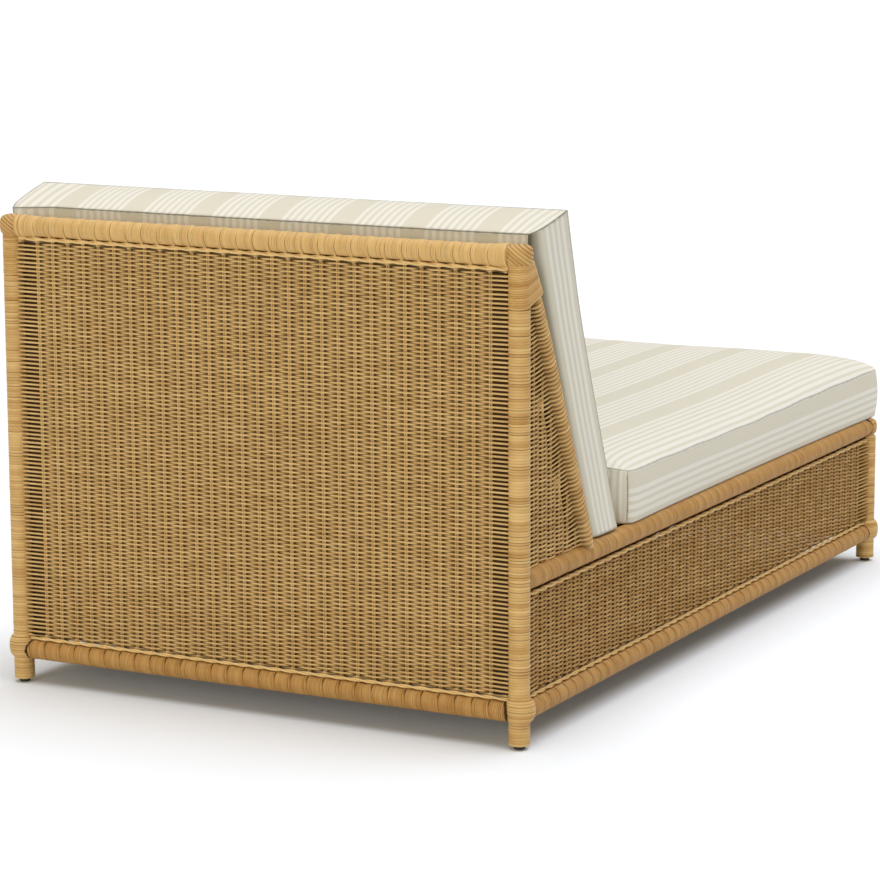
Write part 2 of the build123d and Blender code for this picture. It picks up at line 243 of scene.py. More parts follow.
def reed(name, long, steps, radius, corners):
    """A straight reed along X, closed at both ends."""
    bm = bmesh.new()
    turned = Matrix.Rotation(math.pi / 2, 4, "Y")
    bmesh.ops.create_circle(bm, segments=corners, radius=radius, matrix=turned)
    rim = bm.edges[:]
    for _ in range(steps):
        grown = bmesh.ops.extrude_edge_only(bm, edges=rim)["geom"]
        rim = [g for g in grown if isinstance(g, bmesh.types.BMEdge)]
        ring = [g for g in grown if isinstance(g, bmesh.types.BMVert)]
        bmesh.ops.translate(bm, verts=ring, vec=(long / steps, 0, 0))
    bmesh.ops.holes_fill(bm, edges=[e for e in bm.edges if e.is_boundary], sides=corners)
    bmesh.ops.recalc_face_normals(bm, faces=bm.faces)
    return from_bmesh(name, bm)


def add_array(piece, count, offset, merge=0.0):
    array = piece.modifiers.new("copies", "ARRAY")
    array.use_relative_offset, array.use_constant_offset = False, True
    array.constant_offset_displace = offset
    array.use_merge_vertices, array.merge_threshold = merge > 0, merge
    array.count = count


def in_rows(piece, count, offset=(0, 0, 0)):
    """Copies a piece in a row and tells which copy each point belongs to."""
    each = len(piece.data.vertices)
    add_array(piece, count, offset)
    piece = baked(piece)
    return piece, np.arange(len(piece.data.vertices)) // each


def ease(share):
    share = np.clip(share, 0, 1)
    return share * share * (3 - 2 * share)


# ---------------------------------------------------------------- wound poles


def wound(s, node, place, widths, radius, thick, seed, ground, raised=None, steps=18, shaded=None,
          bulge=None, meets=None, nick=None, groove=0.0012, flare=0.0):
    """Canes wound side by side on a pole along X. Raised ones lie under the ties; shaded is the side that
    gets painted shade.
    """
    count = len(widths)
    rng = np.random.default_rng(seed)
    raised = np.zeros(count, bool) if raised is None else raised
    bm = bmesh.new()
    ridge = [bm.verts.new((x, 0, z)) for x, z in ((0, 0.9), (0.24, 1), (0.76, 1), (1, 0.9))]
    for pair in zip(ridge, ridge[1:]):
        bm.edges.new(pair)
    pole = from_bmesh(node.replace("_wrap", "_winding"), bm)
    add_array(pole, count, (1, 0, 0), merge=0.01)
    screw = pole.modifiers.new("winding", "SCREW")
    screw.axis = "X"
    screw.steps = screw.render_steps = steps
    screw.use_merge_vertices, screw.merge_threshold = True, 0.001
    pole = baked(pole)

    along, *across = points(pole).T
    angle = np.arctan2(*across)
    cane_start = np.floor(along + 1e-3)
    cane = np.clip(cane_start.astype(int), 0, count - 1)
    in_valley = np.abs(along - np.round(along)) < 0.02
    bound = np.clip(np.round(along).astype(int), 0, count)
    edges = np.concatenate([[0], np.cumsum(widths)])
    x = np.interp(along, np.arange(count + 1), edges)

    r = radius + rng.normal(0, 0.00010, count)[cane]
    r[in_valley] = radius - s.cane_valley
    aside = np.zeros((2, len(x)))
    if bulge is not None:
        # the canes swell over the rail ends that they bind to the post
        at, half, grow, shift = bulge
        swell = np.sqrt(np.clip(1 - ((x - at) / half) ** 2, 0, 1))
        r += grow * swell
        aside = np.outer(shift, swell)
    r += flare * ease(1 - np.minimum(x, x.max() - x) / 0.045)
    # each turn leans a little, and more beside a raised loop
    tilt = rng.normal(0.00035, 0.00012, count + 1)
    loops = (edges[:-1] + edges[1:])[raised] / 2
    near = 0.0
    if len(loops):
        near = np.exp(-((np.abs(x[:, None] - loops[None, :]).min(axis=1) / 0.0055) ** 2))
    x = x + tilt[bound] * np.sin(angle + 0.6) + near * 0.0012 * np.sin(angle + 2.2)
    r[(along < 0.01) | (along > count - 0.01)] = radius - thick
    move(pole, np.stack([x, r * np.sin(angle) + aside[0], r * np.cos(angle) + aside[1]], axis=1))
    face_outwards(pole)

    # painted shade in the valleys between canes, strongest beside each raised loop
    shade = np.where(rng.random(count + 1) < 0.3, 0.85, 0.3) * rng.uniform(0.7, 1.15, count + 1)
    shade[:-1] = np.where(raised, 1.1, shade[:-1])
    tone = np.clip(rng.normal(ground, 0.075 if meets else 0.17, count), 0, 1)
    in_shade = 0.0
    if shaded is not None:
        in_shade = ease((np.cos(angle - shaded) - 0.05) / 0.75) * 0.8
    if meets:
        # painted shade in the groove where the pole meets what stands at its ends
        reach_at, start = meets
        reach = np.sqrt(np.clip(reach_at(r * np.cos(angle)) ** 2 - (r * np.sin(angle)) ** 2, 0, None)) - start
        in_shade = 1.2 * (1 - ease((np.minimum(x, x.max() - x) - reach - groove) / 0.0012))
    hollow = np.maximum(np.where(in_valley, shade[bound], 0.0), in_shade)
    if nick is not None:
        # painted shade in a short nick beside each loop, where the border's stake goes in
        beside = raised[cane] & (along - cane_start < 0.5)
        hollow = np.maximum(hollow, beside * ease((np.cos(np.abs(angle) - nick) - 0.84) / 0.1))
    paint(pole, tone=tone[cane] + 0.08 * np.sin(angle + bound * 0.7), hollow=hollow)
    put(pole, place)
    return pole


def even_widths(long, wide, rng):
    widths = wide * rng.uniform(0.82, 1.18, max(2, round(long / wide)))
    return widths * long / widths.sum()


def rail_widths(start, end, first_stake, pitch, loop):
    """Cane widths along a rail, with a raised loop over each stake and eight fine canes between two."""
    fine = (pitch - loop) / 8
    edge = first_stake - loop / 2
    while edge > start:
        edge -= pitch
    widths, raised, at = [], [], edge
    k = 0
    while at < end:
        wide = loop if k % 9 == 0 else fine
        if at >= start and at + wide <= end:
            if not widths:
                edge = at
            widths.append(wide)
            raised.append(k % 9 == 0)
        at += wide
        k += 1
    return edge, np.array(widths), np.array(raised)


def stakes_between(span, pitch):
    """First stake, true pitch and number of stakes between two posts that stand span apart."""
    run = span - 2 * PANEL_CLEAR
    count = round(run / pitch)
    return PANEL_CLEAR, run / count, count + 1


def foot_reach(up):
    """How far a foot's binding stands out from its post's axis, by height over the rail's axis."""
    return POST_R + FOOT_GROW * np.sqrt(np.clip(1 - ((up - FOOT_RISE) / FOOT_HALF) ** 2, 0, 1))


def knob_reach(up):
    """The same for the cap on a rear post."""
    return KNOB_R * np.clip(1 - np.abs(up / KNOB_HALF) ** KNOB_POWER, 0.05, 1) ** (1 / KNOB_POWER)


# What each level of rail meets at its ends, and how its canes differ: the lower and upper rails' dark ground
# tone is painted shade, the top rail's light one painted light from above
RAIL_LEVELS = {
    "lower": (foot_reach, {"ground": 0.12, "nick": 0.55}),
    "upper": (lambda up: POST_R + 0 * up, {"ground": 0.08}),
    "top": (knob_reach, {"ground": 0.78, "flare": 0.0026}),
}


def stile_point(sign, z):
    return Vector((sign * POST_X, STILE_FOOT.y + (z - UPPER_Z) * LEAN, z))


class LOUNGER_OT_wound_poles(bpy.types.Operator):
    """Winds cane round the posts, rails and stiles"""

    bl_idname = "lounger.wound_poles"
    bl_label = "Wound poles"

    def execute(self, context):
        s = context.scene.lounger
        cane = wound_cane(s)
        rng = np.random.default_rng(7)
        for end, way in (("rear", 1), ("front", -1)):
            for side, sign in SIDES.items():
                node = f"{end}_post_{side}_wrap"
                low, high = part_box(node)
                place = axes((sign * POST_X, way * POST_Y, low.z), (0, 0, 1), (0, 1, 0))
                widths = even_widths(high.z - low.z, s.post_cane, rng)
                bulge = (LOWER_Z + FOOT_RISE - low.z, FOOT_HALF, FOOT_GROW, (-0.0011 * way, -0.0021 * sign))
                pole = wound(s, node, place, widths, POST_R, 0.0036, rng.integers(1e6), 0.6, steps=20,
                             bulge=bulge)
                finished(pole, "wound_cane", cane, node)

        for node, y, z in (
            ("back_top_rail_wrap", POST_Y, TOP_Z),
            ("back_lower_rail_wrap", POST_Y, LOWER_Z),
            ("front_upper_rail_wrap", -POST_Y, UPPER_Z),
            ("front_lower_rail_wrap", -POST_Y, LOWER_Z),
        ):
            self.rail(s, cane, node, (-POST_X, y, z), (1, 0, 0), 2 * POST_X, rng)
        for side, sign in SIDES.items():
            for level, z in (("upper", UPPER_Z), ("lower", LOWER_Z)):
                node = f"side_{level}_rail_{side}_wrap"
                self.rail(s, cane, node, (sign * POST_X, -POST_Y, z), (0, 1, 0), 2 * POST_Y, rng)

        for side, sign in SIDES.items():
            foot, head = stile_point(sign, UPPER_Z + 0.010), stile_point(sign, BINDING_FOOT + 0.020)
            widths = even_widths((head - foot).length, s.stile_cane, rng)
            place = axes(foot, head - foot, (1, 0, 0))
            # its rear side gets painted shade, where the wedge's open rows shade it
            rear = place.to_3x3().transposed() @ Vector((0, 1, 0))
            node = f"back_stile_{side}_wrap"
            pole = wound(s, node, place, widths, STILE_R, 0.0038, rng.integers(1e6), 0.68,
                         shaded=math.atan2(rear.y, rear.z))
            finished(pole, "wound_cane", cane, node)
        return {"FINISHED"}

    def rail(self, s, cane, node, origin, axis, span, rng):
        origin, axis = Vector(origin), Vector(axis)
        first, pitch, _ = stakes_between(span, s.stake_pitch)
        start, end = ((Vector(corner) - origin).dot(axis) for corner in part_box(node))
        edge, widths, raised = rail_widths(start, end, first, pitch, s.loop_cane)
        widths[0] += edge - start - NARROW_CANE
        widths[-1] += end - start - widths.sum() - 2 * NARROW_CANE
        widths = np.pad(widths, 1, constant_values=NARROW_CANE)
        reach_at, look = RAIL_LEVELS[node.split("_")[1]]
        place = axes(origin + axis * start, axis, (-axis.y, axis.x, 0))
        pole = wound(s, node, place, widths, RAIL_R, 0.0037, rng.integers(1e6), **look,
                     raised=np.pad(raised, 1), meets=(reach_at, start),
                     groove=0.005 if "side" in node else 0.0012)
        if "_top_" in node:
            stakes = np.arange(first, span - first + 0.001, pitch)
            pole = joined(pole.name, [pole, stake_ties(origin, axis, stakes, s.tie_radius, rng)])
        finished(pole, "wound_cane", cane, node)


def cane_loops(name, loops, radius, resolution):
    """Closed canes along the given rings of points, and the ring that each point belongs to."""
    curve = bpy.data.curves.new(name, "CURVE")
    curve.dimensions = "3D"
    curve.bevel_depth = radius
    curve.bevel_resolution = resolution
    for ring in loops:
        spline = curve.splines.new("POLY")
        spline.points.add(len(ring) - 1)
        for point, place in zip(spline.points, ring):
            point.co = (*place, 1)
        spline.use_cyclic_u = True
    canes = baked(linked(name, curve))
    count = len(canes.data.vertices)
    return canes, np.arange(count) // (count // len(loops))


def hull_ring(circles, count):
    """A ring drawn tight round two circles, given as (across, up, radius)."""
    for k in range(count):
        turn = TAU * k / count
        away = (math.sin(turn), math.cos(turn))
        u, v, r = max(circles, key=lambda c: c[0] * away[0] + c[1] * away[1] + c[2])
        yield u + away[0] * r, v + away[1] * r, turn


def stake_ties(origin, axis, stakes, radius, rng):
    """Twin canes at every stake, drawn tight round the rail and the border under it."""
    across = Vector((-axis.y, axis.x, 0))
    circles = (0, 0, RAIL_R - radius + 0.0011), (0, -RAIL_R - 0.0022, 0.0046)
    loops = []
    for stake in stakes:
        lean = rng.normal(0.0003, 0.0003)
        for shift in (stake - radius, stake + radius):
            loops.append([
                origin + axis * (shift + lean * math.sin(turn)) + across * u + Vector((0, 0, v))
                for u, v, turn in hull_ring(circles, 18)
            ])
    ties, number = cane_loops("stake_ties", loops, radius, 0)
    tones = np.clip(rng.normal(0.92, 0.08, len(loops) + 1), 0, 1.2)
    paint(ties, tone=tones[number], hollow=0.0)
    return ties


# ---------------------------------------------------------------- corners


def stadium(post, stile, post_r, stile_r, climb, count=26):
    """A ring round a post and a stile at one height, higher at the stile by climb."""
    ring = []
    for k in range(count):
        turn = TAU * k / count
        away = Vector((math.sin(turn), math.cos(turn)))
        centre, r = (post, post_r) if away.y > 0 else (stile, stile_r)
        y = centre.y + away.y * r
        share = (post.y + post_r - y) / (post.y - stile.y + post_r + stile_r)
        ring.append((centre.x + away.x * r, y, post.z + climb * share ** 1.5))
    return ring


def wound_knob(name, centre, radius, half_height, cane, seed, heading):
    """A domed cap of canes laid side by side across a rounded post end."""
    bm = bmesh.new()
    bmesh.ops.create_uvsphere(bm, u_segments=30, v_segments=120, radius=1)
    knob = from_bmesh(name, bm)
    rng = np.random.default_rng(seed)
    lie = Vector(heading).normalized()
    put(knob, axes((0, 0, 0), lie.orthogonal(), lie.cross(lie.orthogonal())))
    way = points(knob)
    way /= np.linalg.norm(way, axis=1)[:, None]
    flat, up = np.hypot(way[:, 0], way[:, 1]) / radius, np.abs(way[:, 2]) / half_height
    body = way * ((flat**KNOB_POWER + up**KNOB_POWER) ** (-1 / KNOB_POWER))[:, None]
    phase = body @ np.array(lie) / cane
    ridge = np.abs(np.cos(math.pi * phase))
    cane_no = np.floor(phase + 0.5).astype(int) % 60
    tones = np.clip(rng.normal(0.38, 0.1, 60), 0, 1)
    body += way * ((ridge**0.5 - 1) * 0.0012)[:, None]
    move(knob, body + np.array(centre))
    # painted shade in the grooves between the cap's canes
    paint(knob, tone=tones[cane_no], hollow=ease((0.42 - ridge) / 0.3) * rng.uniform(0.5, 1.2, 60)[cane_no])
    return knob


class LOUNGER_OT_corners(bpy.types.Operator):
    """Binds each post to its stile and caps the posts"""

    bl_idname = "lounger.corners"
    bl_label = "Corner bindings and caps"

    def execute(self, context):
        s = context.scene.lounger
        cane = wound_cane(s)
        count = 19
        rng = np.random.default_rng(21)
        for side, sign in SIDES.items():
            loops = []
            for k in range(count):
                z = BINDING_FOOT + 0.002 + k * (TOP_Z - 0.012 - BINDING_FOOT) / count
                climb = 0.017 * (1 - k / count) + 0.004 + rng.normal(0, 0.0003)
                grow = rng.normal(0, 0.00015)
                post = Vector((sign * POST_X, POST_Y, z))
                loops.append(stadium(post, stile_point(sign, z), POST_R - 0.0016 + grow,
                                     STILE_R - 0.0012 + grow, climb))
            binding, loop_no = cane_loops(f"rear_corner_binding_{side}", loops, 0.0019, 1)
            tones = np.clip(rng.normal(0.52, 0.15, count), 0, 1)
            paint(binding, tone=tones[np.clip(loop_no, 0, count - 1)], hollow=0.0)
            finished(binding, "wound_cane", cane, "rear_corner_bindings")
            for end, y, radius, wide, seed, heading in (
                ("rear", POST_Y, KNOB_R, 0.0050, 31, (-0.885 * 0.62, -0.466 * 0.62, 0.785)),
                ("front", -POST_Y, 0.0178, 0.0034, 41, (0.5 * sign, 0.3, 0.8)),
            ):
                low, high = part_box(f"{end}_corner_caps")
                centre = (sign * POST_X, y, (low.z + high.z) / 2)
                knob = wound_knob(f"{end}_corner_cap_{side}", centre, radius, (high.z - low.z) / 2,
                                  wide, seed + sign, heading)
                finished(knob, "wound_cane", cane, f"{end}_corner_caps")
        return {"FINISHED"}


# ---------------------------------------------------------------- woven skins


def woven_rows(s, node, place, span, foot, rows, first_row, row_pitch, stakes, radius, swing, tuck,
               tuck_out, seed, suffix="", steps=6, corners=5, flat=0.9, total=None, edged=False, drop=0.18,
               ground=0.55):
    """Rows of reed over and under the stakes, tucked at both ends round the poles beside them."""
    first, pitch, count = stakes
    last = first + (count - 1) * pitch
    run = span - 2 * tuck
    strand = reed(f"{node}{suffix}_rows", run, round(run / pitch * steps), radius, corners)
    skin, row = in_rows(strand, rows, (0, 0, row_pitch))
    row = row + first_row
    rng = np.random.default_rng(seed)
    total = total or rows
    x, y, z = points(skin).T
    x = x + tuck
    z = z + foot + first_row * row_pitch
    centre = foot + row * row_pitch
    face = np.where(row % 2 == 0, 1.0, -1.0)
    swinging = np.cos(math.pi * (x - first) / pitch)
    wave = swing * np.sign(swinging) * np.abs(swinging) ** 1.25
    before, after = (first - x) / (first - tuck), (x - last) / (span - tuck - last)
    wave = np.where(before > 0, swing + (tuck_out - swing) * ease(before), wave)
    turned = 1.0 if (count - 1) % 2 == 0 else -1.0
    wave = np.where(after > 0, turned * (swing + (tuck_out - swing) * ease(after)), wave)
    wander = rng.uniform(0.00008, 0.0003, total)[row] * np.sin(
        x / rng.uniform(0.05, 0.16, total)[row] + rng.uniform(0, TAU, total)[row]
    )
    depth = face * wave
    # painted shade on the strands where they pass behind the stakes
    hollow = ease((0.0004 - depth) / 0.0028)
    # strands behind the stakes lie a little lower and fuller, so that no light comes through
    z = z + wander - drop * (swing - np.maximum(depth, -0.008)) + (z - centre) * 0.6 * hollow
    out = y * flat + depth
    # painted shade on the panel's inner side
    hollow = np.maximum(hollow, ease((0.0012 - out) / 0.0042))
    if edged:
        # under the border between each two stakes the end row arches, painted with shade as if a gap stood
        # open there
        gap = np.abs((x - first) / pitch - np.round((x - first) / pitch)) * pitch
        arch = (row == total - 1) | (row == 0)
        free = ease((gap - 0.0022) / 0.0035)
        z = z + arch * (2 * free - 1) * np.where(row == 0, -0.0007, 0.0007)
        out = out - arch * free * 0.0016
        hollow = np.maximum(hollow, arch * free * np.where(row == 0, 0.6, 0.95))
    move(skin, np.stack([x, out, z], axis=1))
    drift = 0.09 * np.sin(x / 0.043 + rng.uniform(0, TAU, total)[row])
    tone = np.clip(rng.normal(ground, 0.07, total)[row] + drift, 0, 1)
    # painted shade: in the open zones beside the posts the rows behind are painted fully shaded
    in_open = np.maximum(before, after) > 0.12
    paint(skin, tone=tone, hollow=np.where(in_open & (depth < 0), 1.12, hollow * 1.04))
    put(skin, place)
    finished(skin, "woven_cane", woven_reed(s), node)


def stake_pairs(s, node, place, stakes, foot, head):
    """Pairs of stakes that stand in the weave, all to one height or each to its own."""
    first, pitch, count = stakes
    rods, number = in_rows(reed(node + "_stakes", 1.0, 4, s.stake_radius, 6), 2 * count)
    x, y, z = points(rods).T
    stake, mate = number // 2, number % 2
    top = np.broadcast_to(head, count)[stake]
    across = first + stake * pitch + (mate - 0.5) * 2.35 * s.stake_radius + z
    move(rods, np.stack([across, y + 0.0003, foot + x * (top - foot)], axis=1))
    rng = np.random.default_rng(count)
    paint(rods, tone=rng.uniform(0.6, 0.95, 2 * count)[number], hollow=0.0)
    face_outwards(rods)
    put(rods, place)
    finished(rods, "woven_cane", woven_reed(s), node)


class LOUNGER_OT_woven_skins(bpy.types.Operator):
    """Weaves the panels, wedges, backrest face and deck"""

    bl_idname = "lounger.woven_skins"
    bl_label = "Woven skins"

    def execute(self, context):
        s = context.scene.lounger
        tuck_out = 0.0085
        tuck = math.sqrt(POST_R**2 - tuck_out**2) - 0.001
        for where, (origin, along, outward, span) in PANELS.items():
            at_side = where in SIDES
            node = f"side_woven_panel_{where}" if at_side else f"{where}_woven_panel"
            low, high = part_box(node)
            stakes = stakes_between(span, s.stake_pitch)
            rows = round((high.z - low.z) / s.row_pitch)
            row_pitch = (high.z - low.z) / rows
            place = axes(origin, along, outward)
            batches = ("_lower", "_upper") if rows > 100 else ("",)
            for batch, suffix in enumerate(batches):
                start, stop = (rows * part // len(batches) for part in (batch, batch + 1))
                # painted shade: the side panels' reed gets a darker ground tone than the back's
                woven_rows(s, node, place, span, low.z + row_pitch / 2, stop - start, start, row_pitch,
                           stakes, s.reed_radius, s.reed_swing, tuck, tuck_out, 11 + batch + len(node),
                           suffix, total=rows, edged=True, drop=0.3 if at_side else 0.2,
                           ground=0.15 if at_side else 0.58)
                if batch == 0:
                    stake_pairs(s, node, place, stakes, low.z - 0.009, high.z + 0.009)
        for side, sign in SIDES.items():
            self.wedge(s, f"wedge_woven_panel_{side}", sign, tuck, tuck_out)

        low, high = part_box("backrest_woven_face")
        foot = stile_point(1, UPPER_Z)
        up = (stile_point(1, STILE_MEET_Z) - foot).normalized()
        front = Vector((0, -up.z, up.y))
        along = front.cross(up)
        place = axes(Vector((-along.x * POST_X, foot.y, foot.z)), along, front)
        height = (high.z - low.z) / up.z - 0.012
        start = (low.z - UPPER_Z) / up.z + 0.008
        self.coarse(s, "backrest_woven_face", place, start, height, height, 0.0026, STILE_R, 0.004, 71,
                    start - 0.006, start + height)
        low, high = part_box("seat_woven_deck")
        place = axes((-POST_X, high.y, (low.z + high.z) / 2), (1, 0, 0), (0, 0, 1))
        depth = high.y - low.y
        self.coarse(s, "seat_woven_deck", place, 0.004, depth, depth - 0.008, 0.0022, RAIL_R, 0.003, 72,
                    0.0, depth)
        return {"FINISHED"}

    def coarse(self, s, node, place, start, long, run, swing, pole_r, tuck_out, seed, foot, head):
        """A skin of flat reed in wider rows, between the stiles or the side rails."""
        rows = round(long / s.deck_row_pitch)
        stakes = stakes_between(2 * POST_X, s.stake_pitch)
        woven_rows(s, node, place, 2 * POST_X, start, rows, 0, run / rows, stakes, 0.0028, swing,
                   pole_r - 0.002, tuck_out, seed, steps=3, corners=4, flat=0.6)
        stake_pairs(s, node, place, stakes, foot, head)

    def wedge(self, s, node, sign, tuck, tuck_out):
        """Rows start level at the post, climb as they near the stile and end square to it."""
        place = Matrix(((0, -1, 0), (sign, 0, 0), (0, 0, 1))).transposed().to_4x4()
        place.translation = (sign * POST_X, POST_Y, 0)
        foot, head = UPPER_Z + RAIL_R + 0.0015, BINDING_FOOT + 0.004
        rows = round((head - foot) / s.row_pitch)
        round_r = STILE_R + 0.0006
        skin, row = in_rows(reed(node + "_rows", 1.0, 52, s.reed_radius, 5), rows)
        share, thick_y, thick_z = points(skin).T
        z = foot + row * (head - foot) / rows
        front = row % 2 == 0
        side_of = np.where(front, 1.0, -1.0)
        slope = LEAN * (0.3 + 0.7 * ease((z - foot) / 0.05))
        # distance from the post's axis to the stile's, at the height where this row meets it
        bend = 0.055
        far = POST_Y - (STILE_FOOT.y + (z + slope * bend / 2 - UPPER_Z) * LEAN)
        tangent = np.where(front, math.radians(68), math.radians(112))
        finish = np.where(front, -1.3, TAU - 0.55)
        squeeze = 1 / math.sqrt(1 + LEAN**2)
        meets = far - round_r * squeeze * np.sin(tangent)
        straight = np.maximum(meets - tuck, 0.002)
        bent = round_r * np.abs(finish - tangent)
        run = share * (straight + bent)
        on_stile = run > straight
        x = tuck + run
        swinging = np.cos(math.pi * (x - PANEL_CLEAR) / s.stake_pitch)
        wave = s.reed_swing * np.sign(swinging) * np.abs(swinging) ** 1.25 * side_of
        near_post = ease((PANEL_CLEAR - x) / (PANEL_CLEAR - tuck))
        wave = wave + near_post * (side_of * tuck_out - wave)
        near_stile = ease((x - (meets - 0.032)) / 0.032)
        wave = wave + near_stile * (round_r * np.cos(tangent) - wave)
        turn = tangent + np.sign(finish - tangent) * np.clip(run - straight, 0, None) / round_r
        x = np.where(on_stile, far - round_r * squeeze * np.sin(turn), x)
        wave = np.where(on_stile, round_r * np.cos(turn), wave)
        climb_from = np.maximum(far - bend, tuck)
        past = np.clip(x - climb_from, 0, None)
        reach = np.maximum(far - climb_from, 0.004)
        climb = np.where(past < reach, slope * past**2 / (2 * reach), slope * (past - reach / 2))
        # round the stile the reed turns with the wood
        out = wave + thick_y * 0.9 * np.where(on_stile, np.cos(turn), 1.0)
        x = x + thick_y * 0.9 * np.where(on_stile, -np.sin(turn) * squeeze, 0.0)
        behind = np.where(on_stile, 0.0, ease((0.0004 - wave) / 0.0028))
        lower = 0.25 * np.where(on_stile, 0.0, s.reed_swing - np.maximum(wave, -0.008))
        # the front reeds spread until they touch as they go round the stile
        spread = np.where(front, ease((run - straight) / (0.5 * bent)), 0.0)
        up = z + climb - lower + thick_z * (0.98 + 0.6 * behind + 1.05 * spread)
        move(skin, np.stack([x, out, up], axis=1))
        rng = np.random.default_rng(51 + sign)
        tone = np.clip(rng.normal(0.5, 0.10, rows)[row] + 0.08 * np.sin(run / 0.03 + row), 0, 1)
        # painted shade on the reed behind the stakes and on the wedge's inner side
        under = np.where(on_stile, 0.0, ease((0.0012 - out) / 0.0042))
        paint(skin, tone=tone, hollow=1.1 * np.maximum(behind, under))
        put(skin, place)
        finished(skin, "woven_cane", woven_reed(s), node)
        xs = PANEL_CLEAR + np.arange(7) * s.stake_pitch
        heads = np.minimum(head, UPPER_Z + (POST_Y - xs - STILE_FOOT.y - STILE_R * 0.6) / LEAN)
        stake_pairs(s, node, place, (PANEL_CLEAR, s.stake_pitch, 7), UPPER_Z + 0.008, heads)


class LOUNGER_OT_borders(bpy.types.Operator):
    """Twines the borders along the rails"""

    bl_idname = "lounger.borders"
    bl_label = "Twined borders"

    def execute(self, context):
        s = context.scene.lounger
        reeds = woven_reed(s)
        for where, (origin, along, outward, span) in PANELS.items():
            at_side = where in SIDES
            node = f"side_panel_borders_{where}" if at_side else f"{where}_panel_borders"
            low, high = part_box(node)
            first, pitch, _ = stakes_between(span, s.stake_pitch)
            run = span - 2 * POST_R + 0.004
            strands = []
            # a strand painted dark as shade under the rail, then two twined ones along each edge
            for level, strand_count, z, thick, stands in (
                ("shaded", 1, high.z - 0.0028, 0.0040, -0.0014),
                ("lower", 2, low.z + 0.003, 0.0018, 0.0036),
                ("upper", 2, high.z - (0.0065 if at_side else 0.003), 0.0023, 0.0052),
            ):
                for k in range(strand_count):
                    strand = reed(f"{node}_{level}_{k}", run, round(run / pitch * 8), thick, 6)
                    x, y, up = points(strand).T
                    x = x + POST_R - 0.002
                    turn = math.pi * (x - first) / pitch + (k - 0.5) * math.pi
                    out = y + 0.0018 * np.cos(turn) + stands
                    move(strand, np.stack([x, out, up + z + 0.0013 * np.sin(turn)], axis=1))
                    # painted shade on the twine's inner side, and the sides' border reed painted darker than
                    # the back's
                    shade = 1.2 if level == "shaded" else ease((0.002 - out) / 0.0035)
                    paint(strand, tone=(0.9 if where == "back" else 0.6) + 0.08 * k, hollow=shade)
                    put(strand, axes(origin, along, outward))
                    strands.append(strand)
            finished(joined(node + "_twine", strands), "woven_cane", reeds, node)
        return {"FINISHED"}


# ---------------------------------------------------------------- cushions


def cut_cloth(name, size, cell, stripe_place):
    """Cloth cut for a box cushion: a cube with its stripes, seams and cells, and its points' shares."""
    bm = bmesh.new()
    bmesh.ops.create_cube(bm, size=1)
    for axis in range(3):
        along = [e for e in bm.edges if abs((e.verts[0].co - e.verts[1].co)[axis]) > 1e-6]
        cells = max(4, round(size[axis] / cell))
        bmesh.ops.subdivide_edges(bm, edges=along, cuts=cells - 1, use_grid_fill=True)
    piece = from_bmesh(name, bm)
    mesh = piece.data
    # where each panel's stripes fall, and how far its seams are
    cloth = mesh.uv_layers.new(name="cloth")
    seams = mesh.uv_layers.new(name="seams")
    for face in mesh.polygons:
        axis = max(range(3), key=lambda k: abs(face.normal[k]))
        others = [k for k in range(3) if k != axis]
        for loop in face.loop_indices:
            share = mesh.vertices[mesh.loops[loop].vertex_index].co
            cloth.data[loop].uv = stripe_place(axis, *(share[k] * size[k] for k in range(3)))
            seams.data[loop].uv = [(0.5 - abs(share[k])) * size[k] for k in others]
    # creases keep the knife edges of the seams through the subdivision
    at_edge = np.abs(np.abs(points(piece)) - 0.5) < 1e-5
    layer = mesh.attributes.new("crease_edge", "FLOAT", "EDGE")
    ends = np.empty(len(mesh.edges) * 2, np.int32)
    mesh.edges.foreach_get("vertices", ends)
    a, b = ends.reshape(-1, 2).T
    both = (at_edge[a] & at_edge[b]).sum(axis=1) >= 2
    layer.data.foreach_set("value", both.astype(np.float32))
    return piece, *(points(piece) * 2).T


def swollen(piece, swell, pressure, floor):
    """Lets the cloth settle under the pressure of its filling, no further than swell."""
    start = points(piece)
    cloth = piece.modifiers.new("filling", "CLOTH")
    cloth.settings.quality = 4
    cloth.settings.mass = 0.3
    cloth.settings.tension_stiffness = cloth.settings.compression_stiffness = 18
    cloth.settings.bending_stiffness = 1.5
    cloth.settings.use_pressure = True
    cloth.settings.uniform_pressure_force = pressure
    cloth.settings.effector_weights.gravity = 0
    cloth.collision_settings.use_collision = False
    cloth.point_cache.frame_start, cloth.point_cache.frame_end = 1, 20
    scene = bpy.context.scene
    for number in range(1, 21):
        scene.frame_set(number)
    graph = bpy.context.evaluated_depsgraph_get()
    flat = np.empty(len(start) * 3, np.float32)
    piece.evaluated_get(graph).data.vertices.foreach_get("co", flat)
    piece.modifiers.remove(cloth)
    scene.frame_set(1)
    gone = flat.reshape(-1, 3) - start
    gone *= np.minimum(1, swell / np.maximum(np.linalg.norm(gone, axis=1, keepdims=True), 1e-9))
    gone[:, 2] = np.where(start[:, 2] + gone[:, 2] < floor, floor - start[:, 2], gone[:, 2])
    move(piece, start + gone)


def filled(piece, s, floor):
    """Fills and finishes a cushion, which lies no lower than floor."""
    swollen(piece, s.cloth_swell, s.pressure, floor)
    finer = piece.modifiers.new("finer cloth", "SUBSURF")
    finer.levels = finer.render_levels = 1
    cushion = piece.name
    piece = baked(piece)
    places = points(piece)
    places[:, 2] = np.maximum(places[:, 2], floor)
    move(piece, places)
    finished(piece, "striped_cloth", ticking(s), cushion + "_cover", cushion + "_foam", body=cushion)


